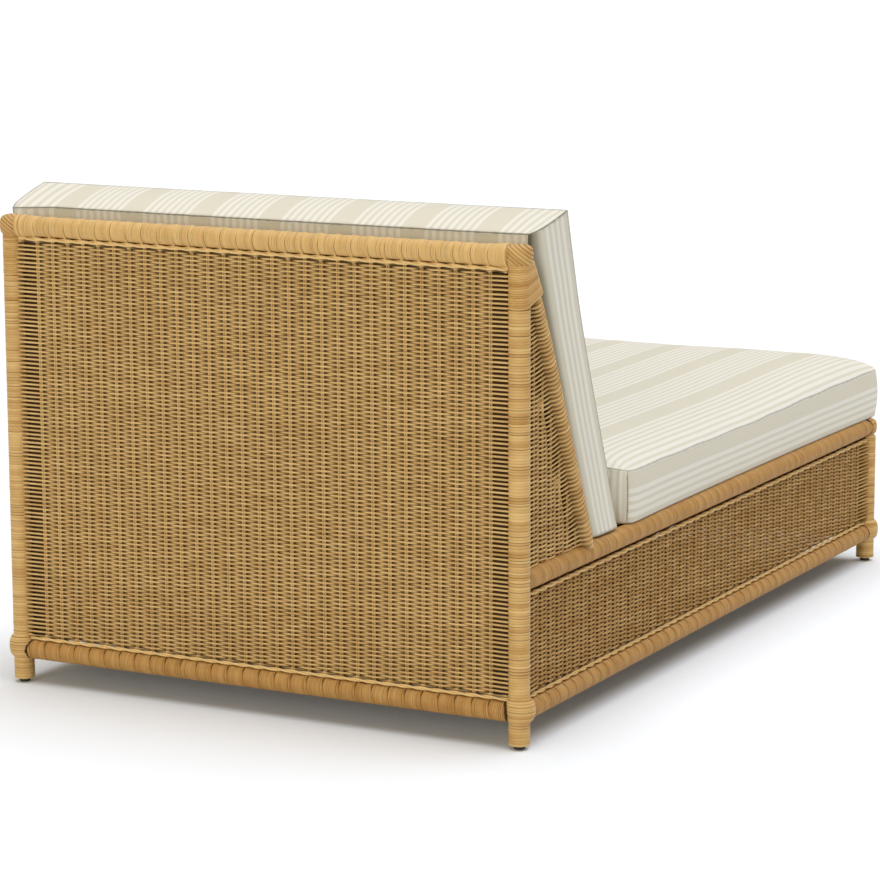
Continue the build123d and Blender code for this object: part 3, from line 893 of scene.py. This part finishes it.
def round_corners(x, y, half_x, half_y, radius):
    """Rounds the four corners of a rectangle's plan."""
    dx, dy = np.abs(x) - (half_x - radius), np.abs(y) - (half_y - radius)
    both = (dx > 0) & (dy > 0)
    shrink = np.where(both, np.maximum(dx, dy) / np.maximum(np.hypot(dx, dy), 1e-9), 1.0)
    new_x = np.where(both, np.sign(x) * (half_x - radius + dx * shrink), x)
    new_y = np.where(both, np.sign(y) * (half_y - radius + dy * shrink), y)
    return new_x, new_y


def full(share, power=3.2):
    """How full a panel is from its middle, 0, to its seam, 1."""
    return 1 - np.abs(np.clip(share, -1, 1)) ** power


class LOUNGER_OT_seat_cushion(bpy.types.Operator):
    """Sews the long seat cushion"""

    bl_idname = "lounger.seat_cushion"
    bl_label = "Seat cushion"

    def execute(self, context):
        s = context.scene.lounger
        low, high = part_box("seat_cushion_cover")
        size = (high.x - low.x, high.y - low.y, SEAT_THICK)

        def stripe_place(axis, x, y, z):
            z = (z + SEAT_THICK / 2) * 0.93 + low.z
            if axis == 0:
                return ((0.3172 - z) * 1.012, y)
            return (x + 0.3093, y if axis == 2 else z)

        piece, a, b, c = cut_cloth("seat_cushion", size, s.cell, stripe_place)
        at_side, at_end = np.abs(a) > EDGE, np.abs(b) > EDGE
        upper = np.clip(c, 0, 1)
        x, y = round_corners(a * size[0] / 2, b * size[1] / 2, size[0] / 2, size[1] / 2,
                             np.where(b > 0, 0.028, 0.010))
        y = y + (low.y + high.y) / 2
        z = low.z + (c + 1) / 2 * SEAT_THICK
        # sides pull in between the corners and the boxing bulges a little between its seams
        x *= 1 - 0.009 * full(b, 2.4) * np.abs(a) ** 3 + 0.009
        x += np.sign(a) * at_side * (0.0035 * full(c, 2) - 0.004)
        y += np.sign(b) * at_end * (0.0035 * full(c, 2) - 0.004 - 0.004 * full(a, 2.4))
        z += upper**6 * (0.014 * full(a, 16) * full(b, 30) + 0.013 * full(a, 2.4) * full(b, 12))
        # the front end is fuller, most towards its sides, and hangs over the rail
        y -= 0.016 * ease((-b - 0.9) / 0.1)
        rise = np.interp(np.abs(a), (0, 0.2, 0.4, 0.6, 0.8, 0.94, 1),
                         (0.0025, 0.003, 0.0050, 0.0066, 0.0080, 0.008, 0.003))
        z += ease((0.1 - b) / 0.8) * upper**4 * rise
        # the side seams sag under the crown
        sag = np.interp(b, (-1, -0.5, 0, 0.4, 0.85, 1), (0.005, 0.006, 0.008, 0.0075, 0.005, 0.0042))
        z -= sag * np.abs(a) ** 14 * np.clip((c + 1) / 2, 0, 1) ** 1.5
        # hand-sewn seams wander
        z += 0.0007 * np.sin(y / 0.024 + 1.3 * np.sign(a)) * at_side * upper**2
        move(piece, np.stack([x, y, z], axis=1))
        paint(piece, hollow=0.0, tight=0.12 + 0.88 * (at_side & at_end & (np.abs(c) < 0.9)))
        filled(piece, s, low.z)
        return {"FINISHED"}


class LOUNGER_OT_back_cushion(bpy.types.Operator):
    """Sews the back cushion that leans on the backrest"""

    bl_idname = "lounger.back_cushion"
    bl_label = "Back cushion"

    def execute(self, context):
        s = context.scene.lounger
        low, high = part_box("back_cushion_cover")
        # corners of its side panel, as (y, z)
        front_foot, rear_foot, rear_head, front_head = np.array(
            ((low.y, low.z), (0.4798, low.z), (high.y, 0.7590), (0.582, 0.7850)))[:, :, None]
        size = (high.x - low.x, BACK_THICK, BACK_LONG)

        def stripe_place(axis, x, y, z):
            if axis == 0:
                return (min((BACK_THICK / 2 - y - 0.0315) * 0.93, 0.044), z)
            return (x - 0.0245, z if axis == 1 else y)

        piece, a, b, c = cut_cloth("back_cushion", size, s.cell, stripe_place)
        t = (b + 1) / 2
        rear = np.clip(b, 0, 1)
        foot = front_foot + (rear_foot - front_foot) * t
        head = front_head + (rear_head - front_head) * t
        side = foot + (head - foot) * (c + 1) / 2
        across = (rear_head - front_head) / np.linalg.norm(rear_head - front_head)
        upward = np.array((-across[1], across[0]))
        # the front and the top swell, and the front's low edge a little
        low_front = ((1 - b) / 2) ** 2 * ease((0.5 - c) / 1.2)
        swell = np.clip(-b, 0, 1) ** 4 * full(a, 2.6) * full(c, 3.5) * 0.020
        side = side - across * (swell + 0.005 * low_front)
        side = side + upward * np.clip(c, 0, 1) ** 8 * full(b, 2) * full(a, 6) * 0.006
        x = a * size[0] / 2
        edge = np.abs(a) > EDGE
        x += np.sign(a) * edge * (0.003 * full(b, 2) - 0.0035)
        x *= 1 - 0.006 * full(c, 2.4) * np.abs(a) ** 3
        x += np.sign(a) * edge * 0.005 * low_front
        # the rear side seams stand back from the stiles, and the rear bulges over the top rail
        x -= np.sign(a) * edge * 0.006 * rear**6
        side = side + across * rear**4 * 0.013 * np.exp(-(((c - 0.86) / 0.1) ** 2))
        # the far end slumps a little outwards at the top, and the near one leans in
        high_up = ease(c * 0.5 + 0.5)
        slump = ease((a - 0.86) / 0.14) * high_up
        x += 0.032 * slump
        side[1] -= 0.005 * slump * t
        x -= 0.009 * ease((-a - 0.86) / 0.14) * high_up * (1 - b) / 2
        move(piece, np.stack([x, *side], axis=1))
        # painted shade where the side runs in behind the stile
        paint(piece, hollow=1.15 * edge * np.clip((b - 0.55) / 0.3, 0, 1), tight=1.0)
        filled(piece, s, low.z)
        return {"FINISHED"}


class LOUNGER_OT_zips(bpy.types.Operator):
    """Sews in the zips"""

    bl_idname = "lounger.zips"
    bl_label = "Zips"

    def execute(self, context):
        # woven polyester tape: flat, matt, ribbed along its length
        tape = two_toned("polyester_zip_tape", "#C9C1AD", "#E2DCCB", 0.8, strength=0.4, kind="TexWave",
                         pattern={"Scale": 300.0, "Distortion": 0.3}, bands_direction="Y")
        # nylon coil: smooth, slightly waxy monofilament
        nylon = two_toned("nylon_zip_coil", "#D8D0BC", "#EFE9DA", 0.4, pattern={"Scale": 800.0})
        for cushion in ("seat_cushion", "back_cushion"):
            node = cushion + "_zip"
            low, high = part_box(node)
            size = Vector(high) - Vector(low)
            lies_flat = size.z < size.y
            wide, deep = (size.y, size.z) if lies_flat else (size.z, size.y)
            place = axes(middle(node), (1, 0, 0), (0, 0, -1) if lies_flat else (0, 1, 0))
            bm = bmesh.new()
            bmesh.ops.create_cube(bm, size=1, matrix=Matrix.Diagonal((size.x, deep * 0.5, wide, 1)))
            bmesh.ops.bevel(bm, geom=bm.edges[:], offset=deep * 0.2, affect="EDGES", segments=2,
                            profile=0.5, material=-1)
            strip = from_bmesh(cushion + "_zip_tape", bm)
            coil = reed(cushion + "_zip_coil", wide * 0.34, 2, 0.00042, 4)
            count = round(size.x / 0.0022)
            teeth, number = in_rows(coil, count)
            x, y, z = points(teeth).T
            x, z = -size.x / 2 + (number + 0.5) * size.x / count + z, x - wide * 0.17
            move(teeth, np.stack([x, y * 0.6 + deep * 0.22, z], axis=1))
            face_outwards(teeth)
            for piece, material in ((strip, tape), (teeth, nylon)):
                put(piece, place)
                finished(piece, "zip_tape", material, node, body=cushion, is_smooth=False)
        return {"FINISHED"}


# ---------------------------------------------------------------- small parts and carried-over nodes


class LOUNGER_OT_glides(bpy.types.Operator):
    """Sets a domed glide under each post"""

    bl_idname = "lounger.glides"
    bl_label = "Glides"

    def execute(self, context):
        # injection-moulded polyethylene: black, waxy, scuffed where it stands on the floor
        black = two_toned("moulded_polyethylene", "#161514", "#2B2926", 0.4, vary=0.25, strength=0.2,
                          pattern={"Scale": 700.0, "Detail": 3.0})
        low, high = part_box("foot_glides")
        radius = (high.x - low.x) / 2 - POST_X
        tall = 0.006
        bm = bmesh.new()
        outline = ((0, 0), (0.62, 0), (0.86, 0.07), (0.97, 0.22), (1, 0.45), (1, 0.86), (0.94, 1), (0, 1))
        verts = [bm.verts.new((radius * r, 0, tall * z)) for r, z in outline]
        edges = [bm.edges.new(pair) for pair in zip(verts, verts[1:])]
        bmesh.ops.spin(bm, geom=verts + edges, cent=(0, 0, 0), axis=(0, 0, 1), angle=TAU, steps=32,
                       use_merge=True)
        bmesh.ops.remove_doubles(bm, verts=bm.verts, dist=1e-6)
        bmesh.ops.recalc_face_normals(bm, faces=bm.faces)
        corners = [(x, y, low.z) for x in (-POST_X, POST_X) for y in (-POST_Y, POST_Y)]
        glides, number = in_rows(from_bmesh("glide", bm), 4)
        move(glides, points(glides) + np.array(corners)[number])
        glides.name = "post_glides"
        finished(glides, "glide_plastic", black, "foot_glides")
        return {"FINISHED"}


class LOUNGER_OT_bare_poles(bpy.types.Operator):
    """Finishes the poles, bars and nails under the cane"""

    bl_idname = "lounger.bare_poles"
    bl_label = "Poles and nails"

    def execute(self, context):
        pole = bare_rattan()
        # zinc-plated wire nail: dull grey metal with a spangle
        steel = two_toned("zinc_plated_nail_steel", "#8F9396", "#B4B8BA", 0.35, vary=0.2,
                          pattern={"Scale": 500.0, "Detail": 3.0}, inputs={"Metallic": 1.0})
        dressed = ("cushion", "glides", "_wrap", "panel", "face", "woven", "cap", "binding")
        for name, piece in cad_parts.items():
            if any(word in name for word in dressed):
                continue
            material = steel if name == "frame_nails" else pole
            if not piece.material_slots:
                piece.data.materials.append(material)
            for slot in piece.material_slots:
                slot.material = material
        return {"FINISHED"}


# ---------------------------------------------------------------- materials


def feed(node, inputs):
    """Sets a node's sockets, by name or in turn, each to a plain value or to the output linked into it."""
    for socket, value in inputs.items() if isinstance(inputs, dict) else enumerate(inputs):
        if isinstance(value, bpy.types.NodeSocket):
            node.id_data.links.new(value, node.inputs[socket])
        else:
            node.inputs[socket].default_value = value


def add(tree, kind, inputs=(), out=0, **settings):
    """Adds one shader node with its settings and links, and gives one of its outputs."""
    node = tree.nodes.new("ShaderNode" + kind)
    for name, value in settings.items():
        setattr(node, name, value)
    feed(node, inputs)
    return node.outputs[out]


def material(name):
    """A new material, what feeds its shader and what adds its nodes."""
    made = bpy.data.materials.new(name)
    made.use_nodes = True
    return made, partial(feed, made.node_tree.nodes["Principled BSDF"]), partial(add, made.node_tree)


def two_toned(name, dark, light, rough, vary=0.0, strength=0.0, kind="TexNoise", pattern=None, inputs=None,
              **settings):
    """A material of two close tones, drawn by one fine texture in the object's space."""
    made, shader, node = material(name)
    grain = node(kind, {"Vector": node("TexCoord", out="Object"), **pattern}, out="Fac", **settings)
    shader({
        "Base Color": node("Mix", {0: grain, 6: linear(dark), 7: linear(light)}, out=2, data_type="RGBA"),
        "Roughness": node("Math", (grain, vary, rough), operation="MULTIPLY_ADD") if vary else rough,
        **(inputs or {}),
    })
    if strength:
        shader({"Normal": node("Bump", {"Height": grain, "Strength": strength, "Distance": 0.0002})})
    return made


def cane_material(name, light, deep, hollow, roughness, coat):
    """Split cane: satin lacquer over a fibrous skin, each cane its own honey tone, painted shade in the
    hollows.
    """
    if name in bpy.data.materials:
        return bpy.data.materials[name]
    made, shader, node = material(name)
    place = node("TexCoord", out="Object")
    tone = node("Attribute", out="Fac", attribute_name="tone")
    depth = node("Attribute", out="Fac", attribute_name="hollow")
    # blotches 25 mm across, where the skin took the sun and the lacquer differently
    blotch = node("TexNoise", {"Vector": place, "Scale": 40.0, "Detail": 3.0})
    # fibres 0.7 mm wide
    fibre = node("TexNoise", {"Vector": place, "Scale": 1400.0, "Detail": 2.0})
    share = node("Math", (blotch, 0.5, -0.25), operation="MULTIPLY_ADD")
    share = node("Math", (share, tone), operation="ADD")
    share = node("Math", (fibre, 0.12, share), operation="MULTIPLY_ADD", use_clamp=True)
    body = node("Mix", {0: share, 6: deep, 7: light}, out=2, data_type="RGBA")
    # painted shade: the attribute read above mixes the cane towards its shade colour where shade falls in
    # hollows, gaps and behind rows
    dark = node("Math", (depth, 0.82), operation="MULTIPLY", use_clamp=True)
    # the painted shade in the hollows and gaps has no shine
    shaded_roughness = node("Math", (dark, 0.5, roughness), operation="MULTIPLY_ADD")
    shine = node("Math", (1.0, dark), operation="SUBTRACT")
    shader({
        "Base Color": node("Mix", {0: dark, 6: body, 7: hollow}, out=2, data_type="RGBA"),
        "Roughness": node("Math", (blotch, 0.18, shaded_roughness), operation="MULTIPLY_ADD", use_clamp=True),
        "Normal": node("Bump", {"Height": fibre, "Strength": 0.25, "Distance": 0.0002}),
        "Specular IOR Level": 0.3,
        "IOR": 1.48,
        "Coat Weight": node("Math", (shine, coat), operation="MULTIPLY"),
        "Coat Roughness": 0.32,
    })
    return made


def wound_cane(s):
    """Lacquered winding cane: the glossy outer skin of the rattan, so the light runs along each turn."""
    return cane_material("lacquered_wound_cane", s.cane_light, s.cane_deep, s.cane_shadow, 0.4, 0.1)


def woven_reed(s):
    """Core reed of the weave: the inside of the rattan, browner and drier than the skin."""
    return cane_material("lacquered_core_reed", s.reed_light, s.reed_deep, s.cane_shadow, 0.52, 0.04)


def bare_rattan():
    """Scraped rattan pole: pale straw with a dark ring at each node and long fine fibres."""
    made, shader, node = material("scraped_rattan_pole")
    place = node("TexCoord", out="Object")
    blotch = node("TexNoise", {"Vector": place, "Scale": 22.0, "Detail": 4.0})
    fibre = node("TexNoise", {"Vector": place, "Scale": 900.0, "Detail": 2.0})
    rings = node("TexWave", {"Vector": place, "Scale": 1.1, "Distortion": 2.0}, out="Fac",
                 wave_type="BANDS", bands_direction="DIAGONAL")
    ring = node("Math", (rings, 0.985), operation="GREATER_THAN")
    ring = node("Math", (ring, 0.6), operation="MULTIPLY")
    body = node("Mix", {0: blotch, 6: linear("#B98E55"), 7: linear("#DDBE8A")}, out=2, data_type="RGBA")
    shader({
        "Base Color": node("Mix", {0: ring, 6: body, 7: linear("#6E4A22")}, out=2, data_type="RGBA"),
        "Roughness": node("Math", (fibre, 0.2, 0.45), operation="MULTIPLY_ADD"),
        "Normal": node("Bump", {"Height": fibre, "Strength": 0.3, "Distance": 0.0004}),
    })
    return made


def ticking(s):
    """Striped cotton ticking, yarn-dyed and plain woven: dry, matt, with threads that just show."""
    name = "striped_cotton_ticking"
    if name in bpy.data.materials:
        return bpy.data.materials[name]
    made, shader, node = material(name)
    ivory = tuple(s.ivory)
    cloth, seams = node("UVMap", uv_map="cloth"), node("UVMap", uv_map="seams")
    place = node("TexCoord", out="Object")
    wander = node("TexNoise", {"Vector": place, "Scale": 9.0, "Detail": 1.0})
    across = node("Math", (wander, 0.0024, node("SeparateXYZ", (cloth,))), operation="MULTIPLY_ADD")
    # ivory stripes in groups, a plain band between the groups
    half = s.stripe_width / 2
    group = node("Math", (across, half - 0.0012), operation="ADD")
    group = node("Math", (group, s.stripe_repeat), operation="FLOORED_MODULO")
    in_group = node("Math", (group, (s.stripe_count - 0.5) * s.stripe_pitch + half), operation="LESS_THAN")
    step = node("Math", (group, s.stripe_pitch), operation="FLOORED_MODULO")
    # on the seat the ivory runs wider, and once more along the side seam
    tight = node("Attribute", out="Fac", attribute_name="tight")
    lit_seams = node("Math", (1.0, tight), operation="SUBTRACT", use_clamp=True)
    from_middle = node("Math", (step, half), operation="SUBTRACT")
    from_middle = node("Math", (from_middle,), operation="ABSOLUTE")
    from_middle = node("Math", (lit_seams, -0.0006, from_middle), operation="MULTIPLY_ADD")
    stripe = node("MapRange", {"Value": from_middle, "From Min": half + 0.0005, "From Max": half - 0.0007},
                  interpolation_type="SMOOTHSTEP")
    stripe = node("Math", (stripe, in_group), operation="MULTIPLY")
    past_edge = node("Math", (across, -0.1305), operation="LESS_THAN")
    on_seat = node("Math", (lit_seams, 0.5), operation="GREATER_THAN")
    at_seam = node("Math", (past_edge, on_seat), operation="MULTIPLY")
    stripe = node("Math", (stripe, at_seam), operation="MAXIMUM")
    body = node("Mix", {0: stripe, 6: tuple(s.taupe), 7: ivory}, out=2, data_type="RGBA")
    # threads drawn at 1.1 mm, twice as coarse as real ones, so that they show
    warp, weft = (
        node("TexWave", {"Vector": cloth, "Scale": 290.0, "Distortion": 0.6}, out="Fac", bands_direction=way)
        for way in "XY"
    )
    thread = node("Math", (warp, weft), operation="MULTIPLY")
    slub = node("TexNoise", {"Vector": cloth, "Scale": 260.0, "Detail": 2.0})
    yarn = node("Math", (thread, slub), operation="ADD")
    yarn = node("Math", (yarn, 0.07, -0.02), operation="MULTIPLY_ADD")
    body = node("Mix", {0: yarn, 6: body, 7: linear("#A79E88")}, out=2, data_type="RGBA")
    # a seam is a thin dark line with lighter ticks where the stitches pull
    to_seam = node("SeparateXYZ", (seams,)).node.outputs
    nearest = node("Math", (to_seam["X"], to_seam["Y"]), operation="MINIMUM")
    tick = node("TexNoise", {"Vector": place, "Scale": 130.0, "Detail": 1.0})
    reach = node("Math", (tick, 0.0022, 0.0003), operation="MULTIPLY_ADD")
    line = node("Math", (nearest, reach), operation="LESS_THAN")
    soft = node("MapRange", {"Value": nearest, "From Min": 0.007, "From Max": 0.0, "To Max": 0.22},
                interpolation_type="SMOOTHSTEP")
    # on the seat a painted highlight runs along each seam; on the back painted shade lies beside it
    ridge = node("Math", (soft, 2.5), operation="MULTIPLY", use_clamp=True)
    ridge = node("Math", (ridge, lit_seams), operation="MULTIPLY")
    body = node("Mix", {0: ridge, 6: body, 7: ivory}, out=2, data_type="RGBA")
    # painted shade beside each seam on the back cushion
    beside = node("Math", (soft, tight), operation="MULTIPLY")
    strength = node("Math", (tight, 0.35, 0.4), operation="MULTIPLY_ADD")
    drawn = node("Math", (line, strength), operation="MULTIPLY")
    dark = node("Math", (beside, drawn), operation="MAXIMUM")
    # painted shade from the points' attribute, where a cushion's side runs in behind a stile
    shade = node("Math", (node("Attribute", out="Fac", attribute_name="hollow"), 2.0), operation="POWER")
    shade = node("Math", (shade, 0.85), operation="MULTIPLY")
    dark = node("Math", (dark, shade), operation="MAXIMUM")
    pucker = node("Math", (soft, tick), operation="MULTIPLY")
    pucker = node("Math", (pucker, 80.0), operation="MULTIPLY")
    height = node("Math", (thread, pucker), operation="ADD")
    height = node("Math", (line, -3.0, height), operation="MULTIPLY_ADD")
    shader({
        "Base Color": node("Mix", {0: dark, 6: body, 7: tuple(s.seam)}, out=2, data_type="RGBA"),
        "Roughness": 0.88,
        "Sheen Weight": 0.15,
        "Specular IOR Level": 0.25,
        "Normal": node("Bump", {"Height": height, "Strength": 0.35, "Distance": 0.0004}),
    })
    return made


def studio_floor():
    """Seamless white paper floor: matt, with an even glow that the camera sees all round the lounger, less of
    it under the lounger as painted shade.
    """
    made = two_toned("matt_paper_floor", "#EDF0F3", "#F0F3F6", 1.0, pattern={"Scale": 60.0, "Detail": 2.0},
                     inputs={"Specular IOR Level": 0.0, "Emission Color": (1, 1, 1, 1)})
    node = partial(add, made.node_tree)
    x, y, _ = node("SeparateXYZ", (node("TexCoord", out="Object"),)).node.outputs
    aside, beyond = (
        node("Math", (node("Math", (way,), operation="ABSOLUTE"), half), operation="SUBTRACT")
        for way, half in ((x, POST_X), (y, POST_Y))
    )
    # painted shade: the glow drops from the floor round the lounger to less under it
    away = node("MapRange", {
        "Value": node("Math", (aside, beyond), operation="MAXIMUM"),
        "From Min": -0.02, "From Max": 0.22, "To Min": 0.05, "To Max": 0.13,
    }, interpolation_type="SMOOTHSTEP")
    glow = node("Math", (seen_by_eye(node), away), operation="MULTIPLY")
    feed(made.node_tree.nodes["Principled BSDF"], {"Emission Strength": glow})
    return made


# ---------------------------------------------------------------- studio


def seen_by_eye(node):
    """1 for the rays that the camera sees, straight, mirrored or through glass."""
    rays = node("LightPath").node.outputs
    seen = node("Math", (rays["Is Camera Ray"], rays["Is Glossy Ray"]), operation="MAXIMUM")
    return node("Math", (seen, rays["Is Transmission Ray"]), operation="MAXIMUM")


class LOUNGER_OT_studio(bpy.types.Operator):
    """Lays the floor, the lamps, the white surround and the camera"""

    bl_idname = "lounger.studio"
    bl_label = "Studio"

    def execute(self, context):
        scene = context.scene
        scene.view_settings.view_transform = "Standard"
        bm = bmesh.new()
        bmesh.ops.create_grid(bm, x_segments=8, y_segments=8, size=30)
        floor = from_bmesh("studio_floor", bm)
        floor.data.materials.append(studio_floor())

        for name, strength, tint, spread, towards in (
            ("overhead_softbox", 2.75, (0.86, 0.90, 1.0), 70, (-0.18, -0.1, 1.0)),
            ("low_rear_softbox", 1.46, (1.0, 0.955, 0.85), 50, (0.0, 1.0, 0.12)),
        ):
            lamp = bpy.data.lights.new(name, "SUN")
            lamp.color = tint
            lamp.energy = strength
            lamp.angle = math.radians(spread)
            linked(name, lamp).rotation_euler = Vector(towards).to_track_quat("Z", "Y").to_euler()

        # a dim warm surround that lights the lounger, and a white one behind it
        world = scene.world = bpy.data.worlds.new("white_surround")
        world.use_nodes = True
        world.node_tree.nodes.clear()
        node = partial(add, world.node_tree)
        around = node("Background", {"Color": (1, 0.91, 0.68, 1), "Strength": 0.30})
        white = node("Background", {"Color": (1, 1, 1, 1), "Strength": 1.0})
        mixed = node("MixShader", (seen_by_eye(node), around, white))
        feed(world.node_tree.nodes.new("ShaderNodeOutputWorld"), {"Surface": mixed})

        # the camera as fitted to the photograph
        lens = bpy.data.cameras.new("photograph")
        lens.sensor_fit = "HORIZONTAL"
        lens.sensor_width = 36.0
        lens.lens = 135.09
        lens.clip_start, lens.clip_end = 0.1, 60.0
        camera = linked("photograph", lens)
        yaw, pitch, roll = -1.086, 0.182, -0.004
        camera.matrix_world = (
            Matrix.Translation((-2.5244, 4.9235, 1.3260)) @ Matrix.Rotation(yaw - math.pi / 2, 4, "Z")
            @ Matrix.Rotation(math.pi / 2 - pitch, 4, "X") @ Matrix.Rotation(roll, 4, "Z")
        )
        scene.camera = camera
        return {"FINISHED"}


# ---------------------------------------------------------------- panel and registration

OPERATORS = (
    LOUNGER_OT_studio,
    LOUNGER_OT_bare_poles,
    LOUNGER_OT_wound_poles,
    LOUNGER_OT_corners,
    LOUNGER_OT_woven_skins,
    LOUNGER_OT_borders,
    LOUNGER_OT_seat_cushion,
    LOUNGER_OT_back_cushion,
    LOUNGER_OT_zips,
    LOUNGER_OT_glides,
)


class LOUNGER_PT_pieces(bpy.types.Panel):
    """Lists the lounger's pieces and their sizes"""

    bl_label = "Rattan sun lounger"
    bl_idname = "LOUNGER_PT_pieces"
    bl_space_type = "VIEW_3D"
    bl_region_type = "UI"
    bl_category = "Lounger"

    def draw(self, context):
        column = self.layout.column()
        for operator in OPERATORS:
            column.operator(operator.bl_idname)
        for name in LoungerSizes.__annotations__:
            column.prop(context.scene.lounger, name)


CLASSES = (LoungerSizes, *OPERATORS, LOUNGER_PT_pieces)


def register():
    for made in CLASSES:
        bpy.utils.register_class(made)
    bpy.types.Scene.lounger = PointerProperty(type=LoungerSizes)


def unregister():
    del bpy.types.Scene.lounger
    for made in reversed(CLASSES):
        bpy.utils.unregister_class(made)


def main():
    register()
    for operator in OPERATORS:
        group, name = operator.bl_idname.split(".")
        getattr(getattr(bpy.ops, group), name)()


if __name__ == "__main__":
    main()
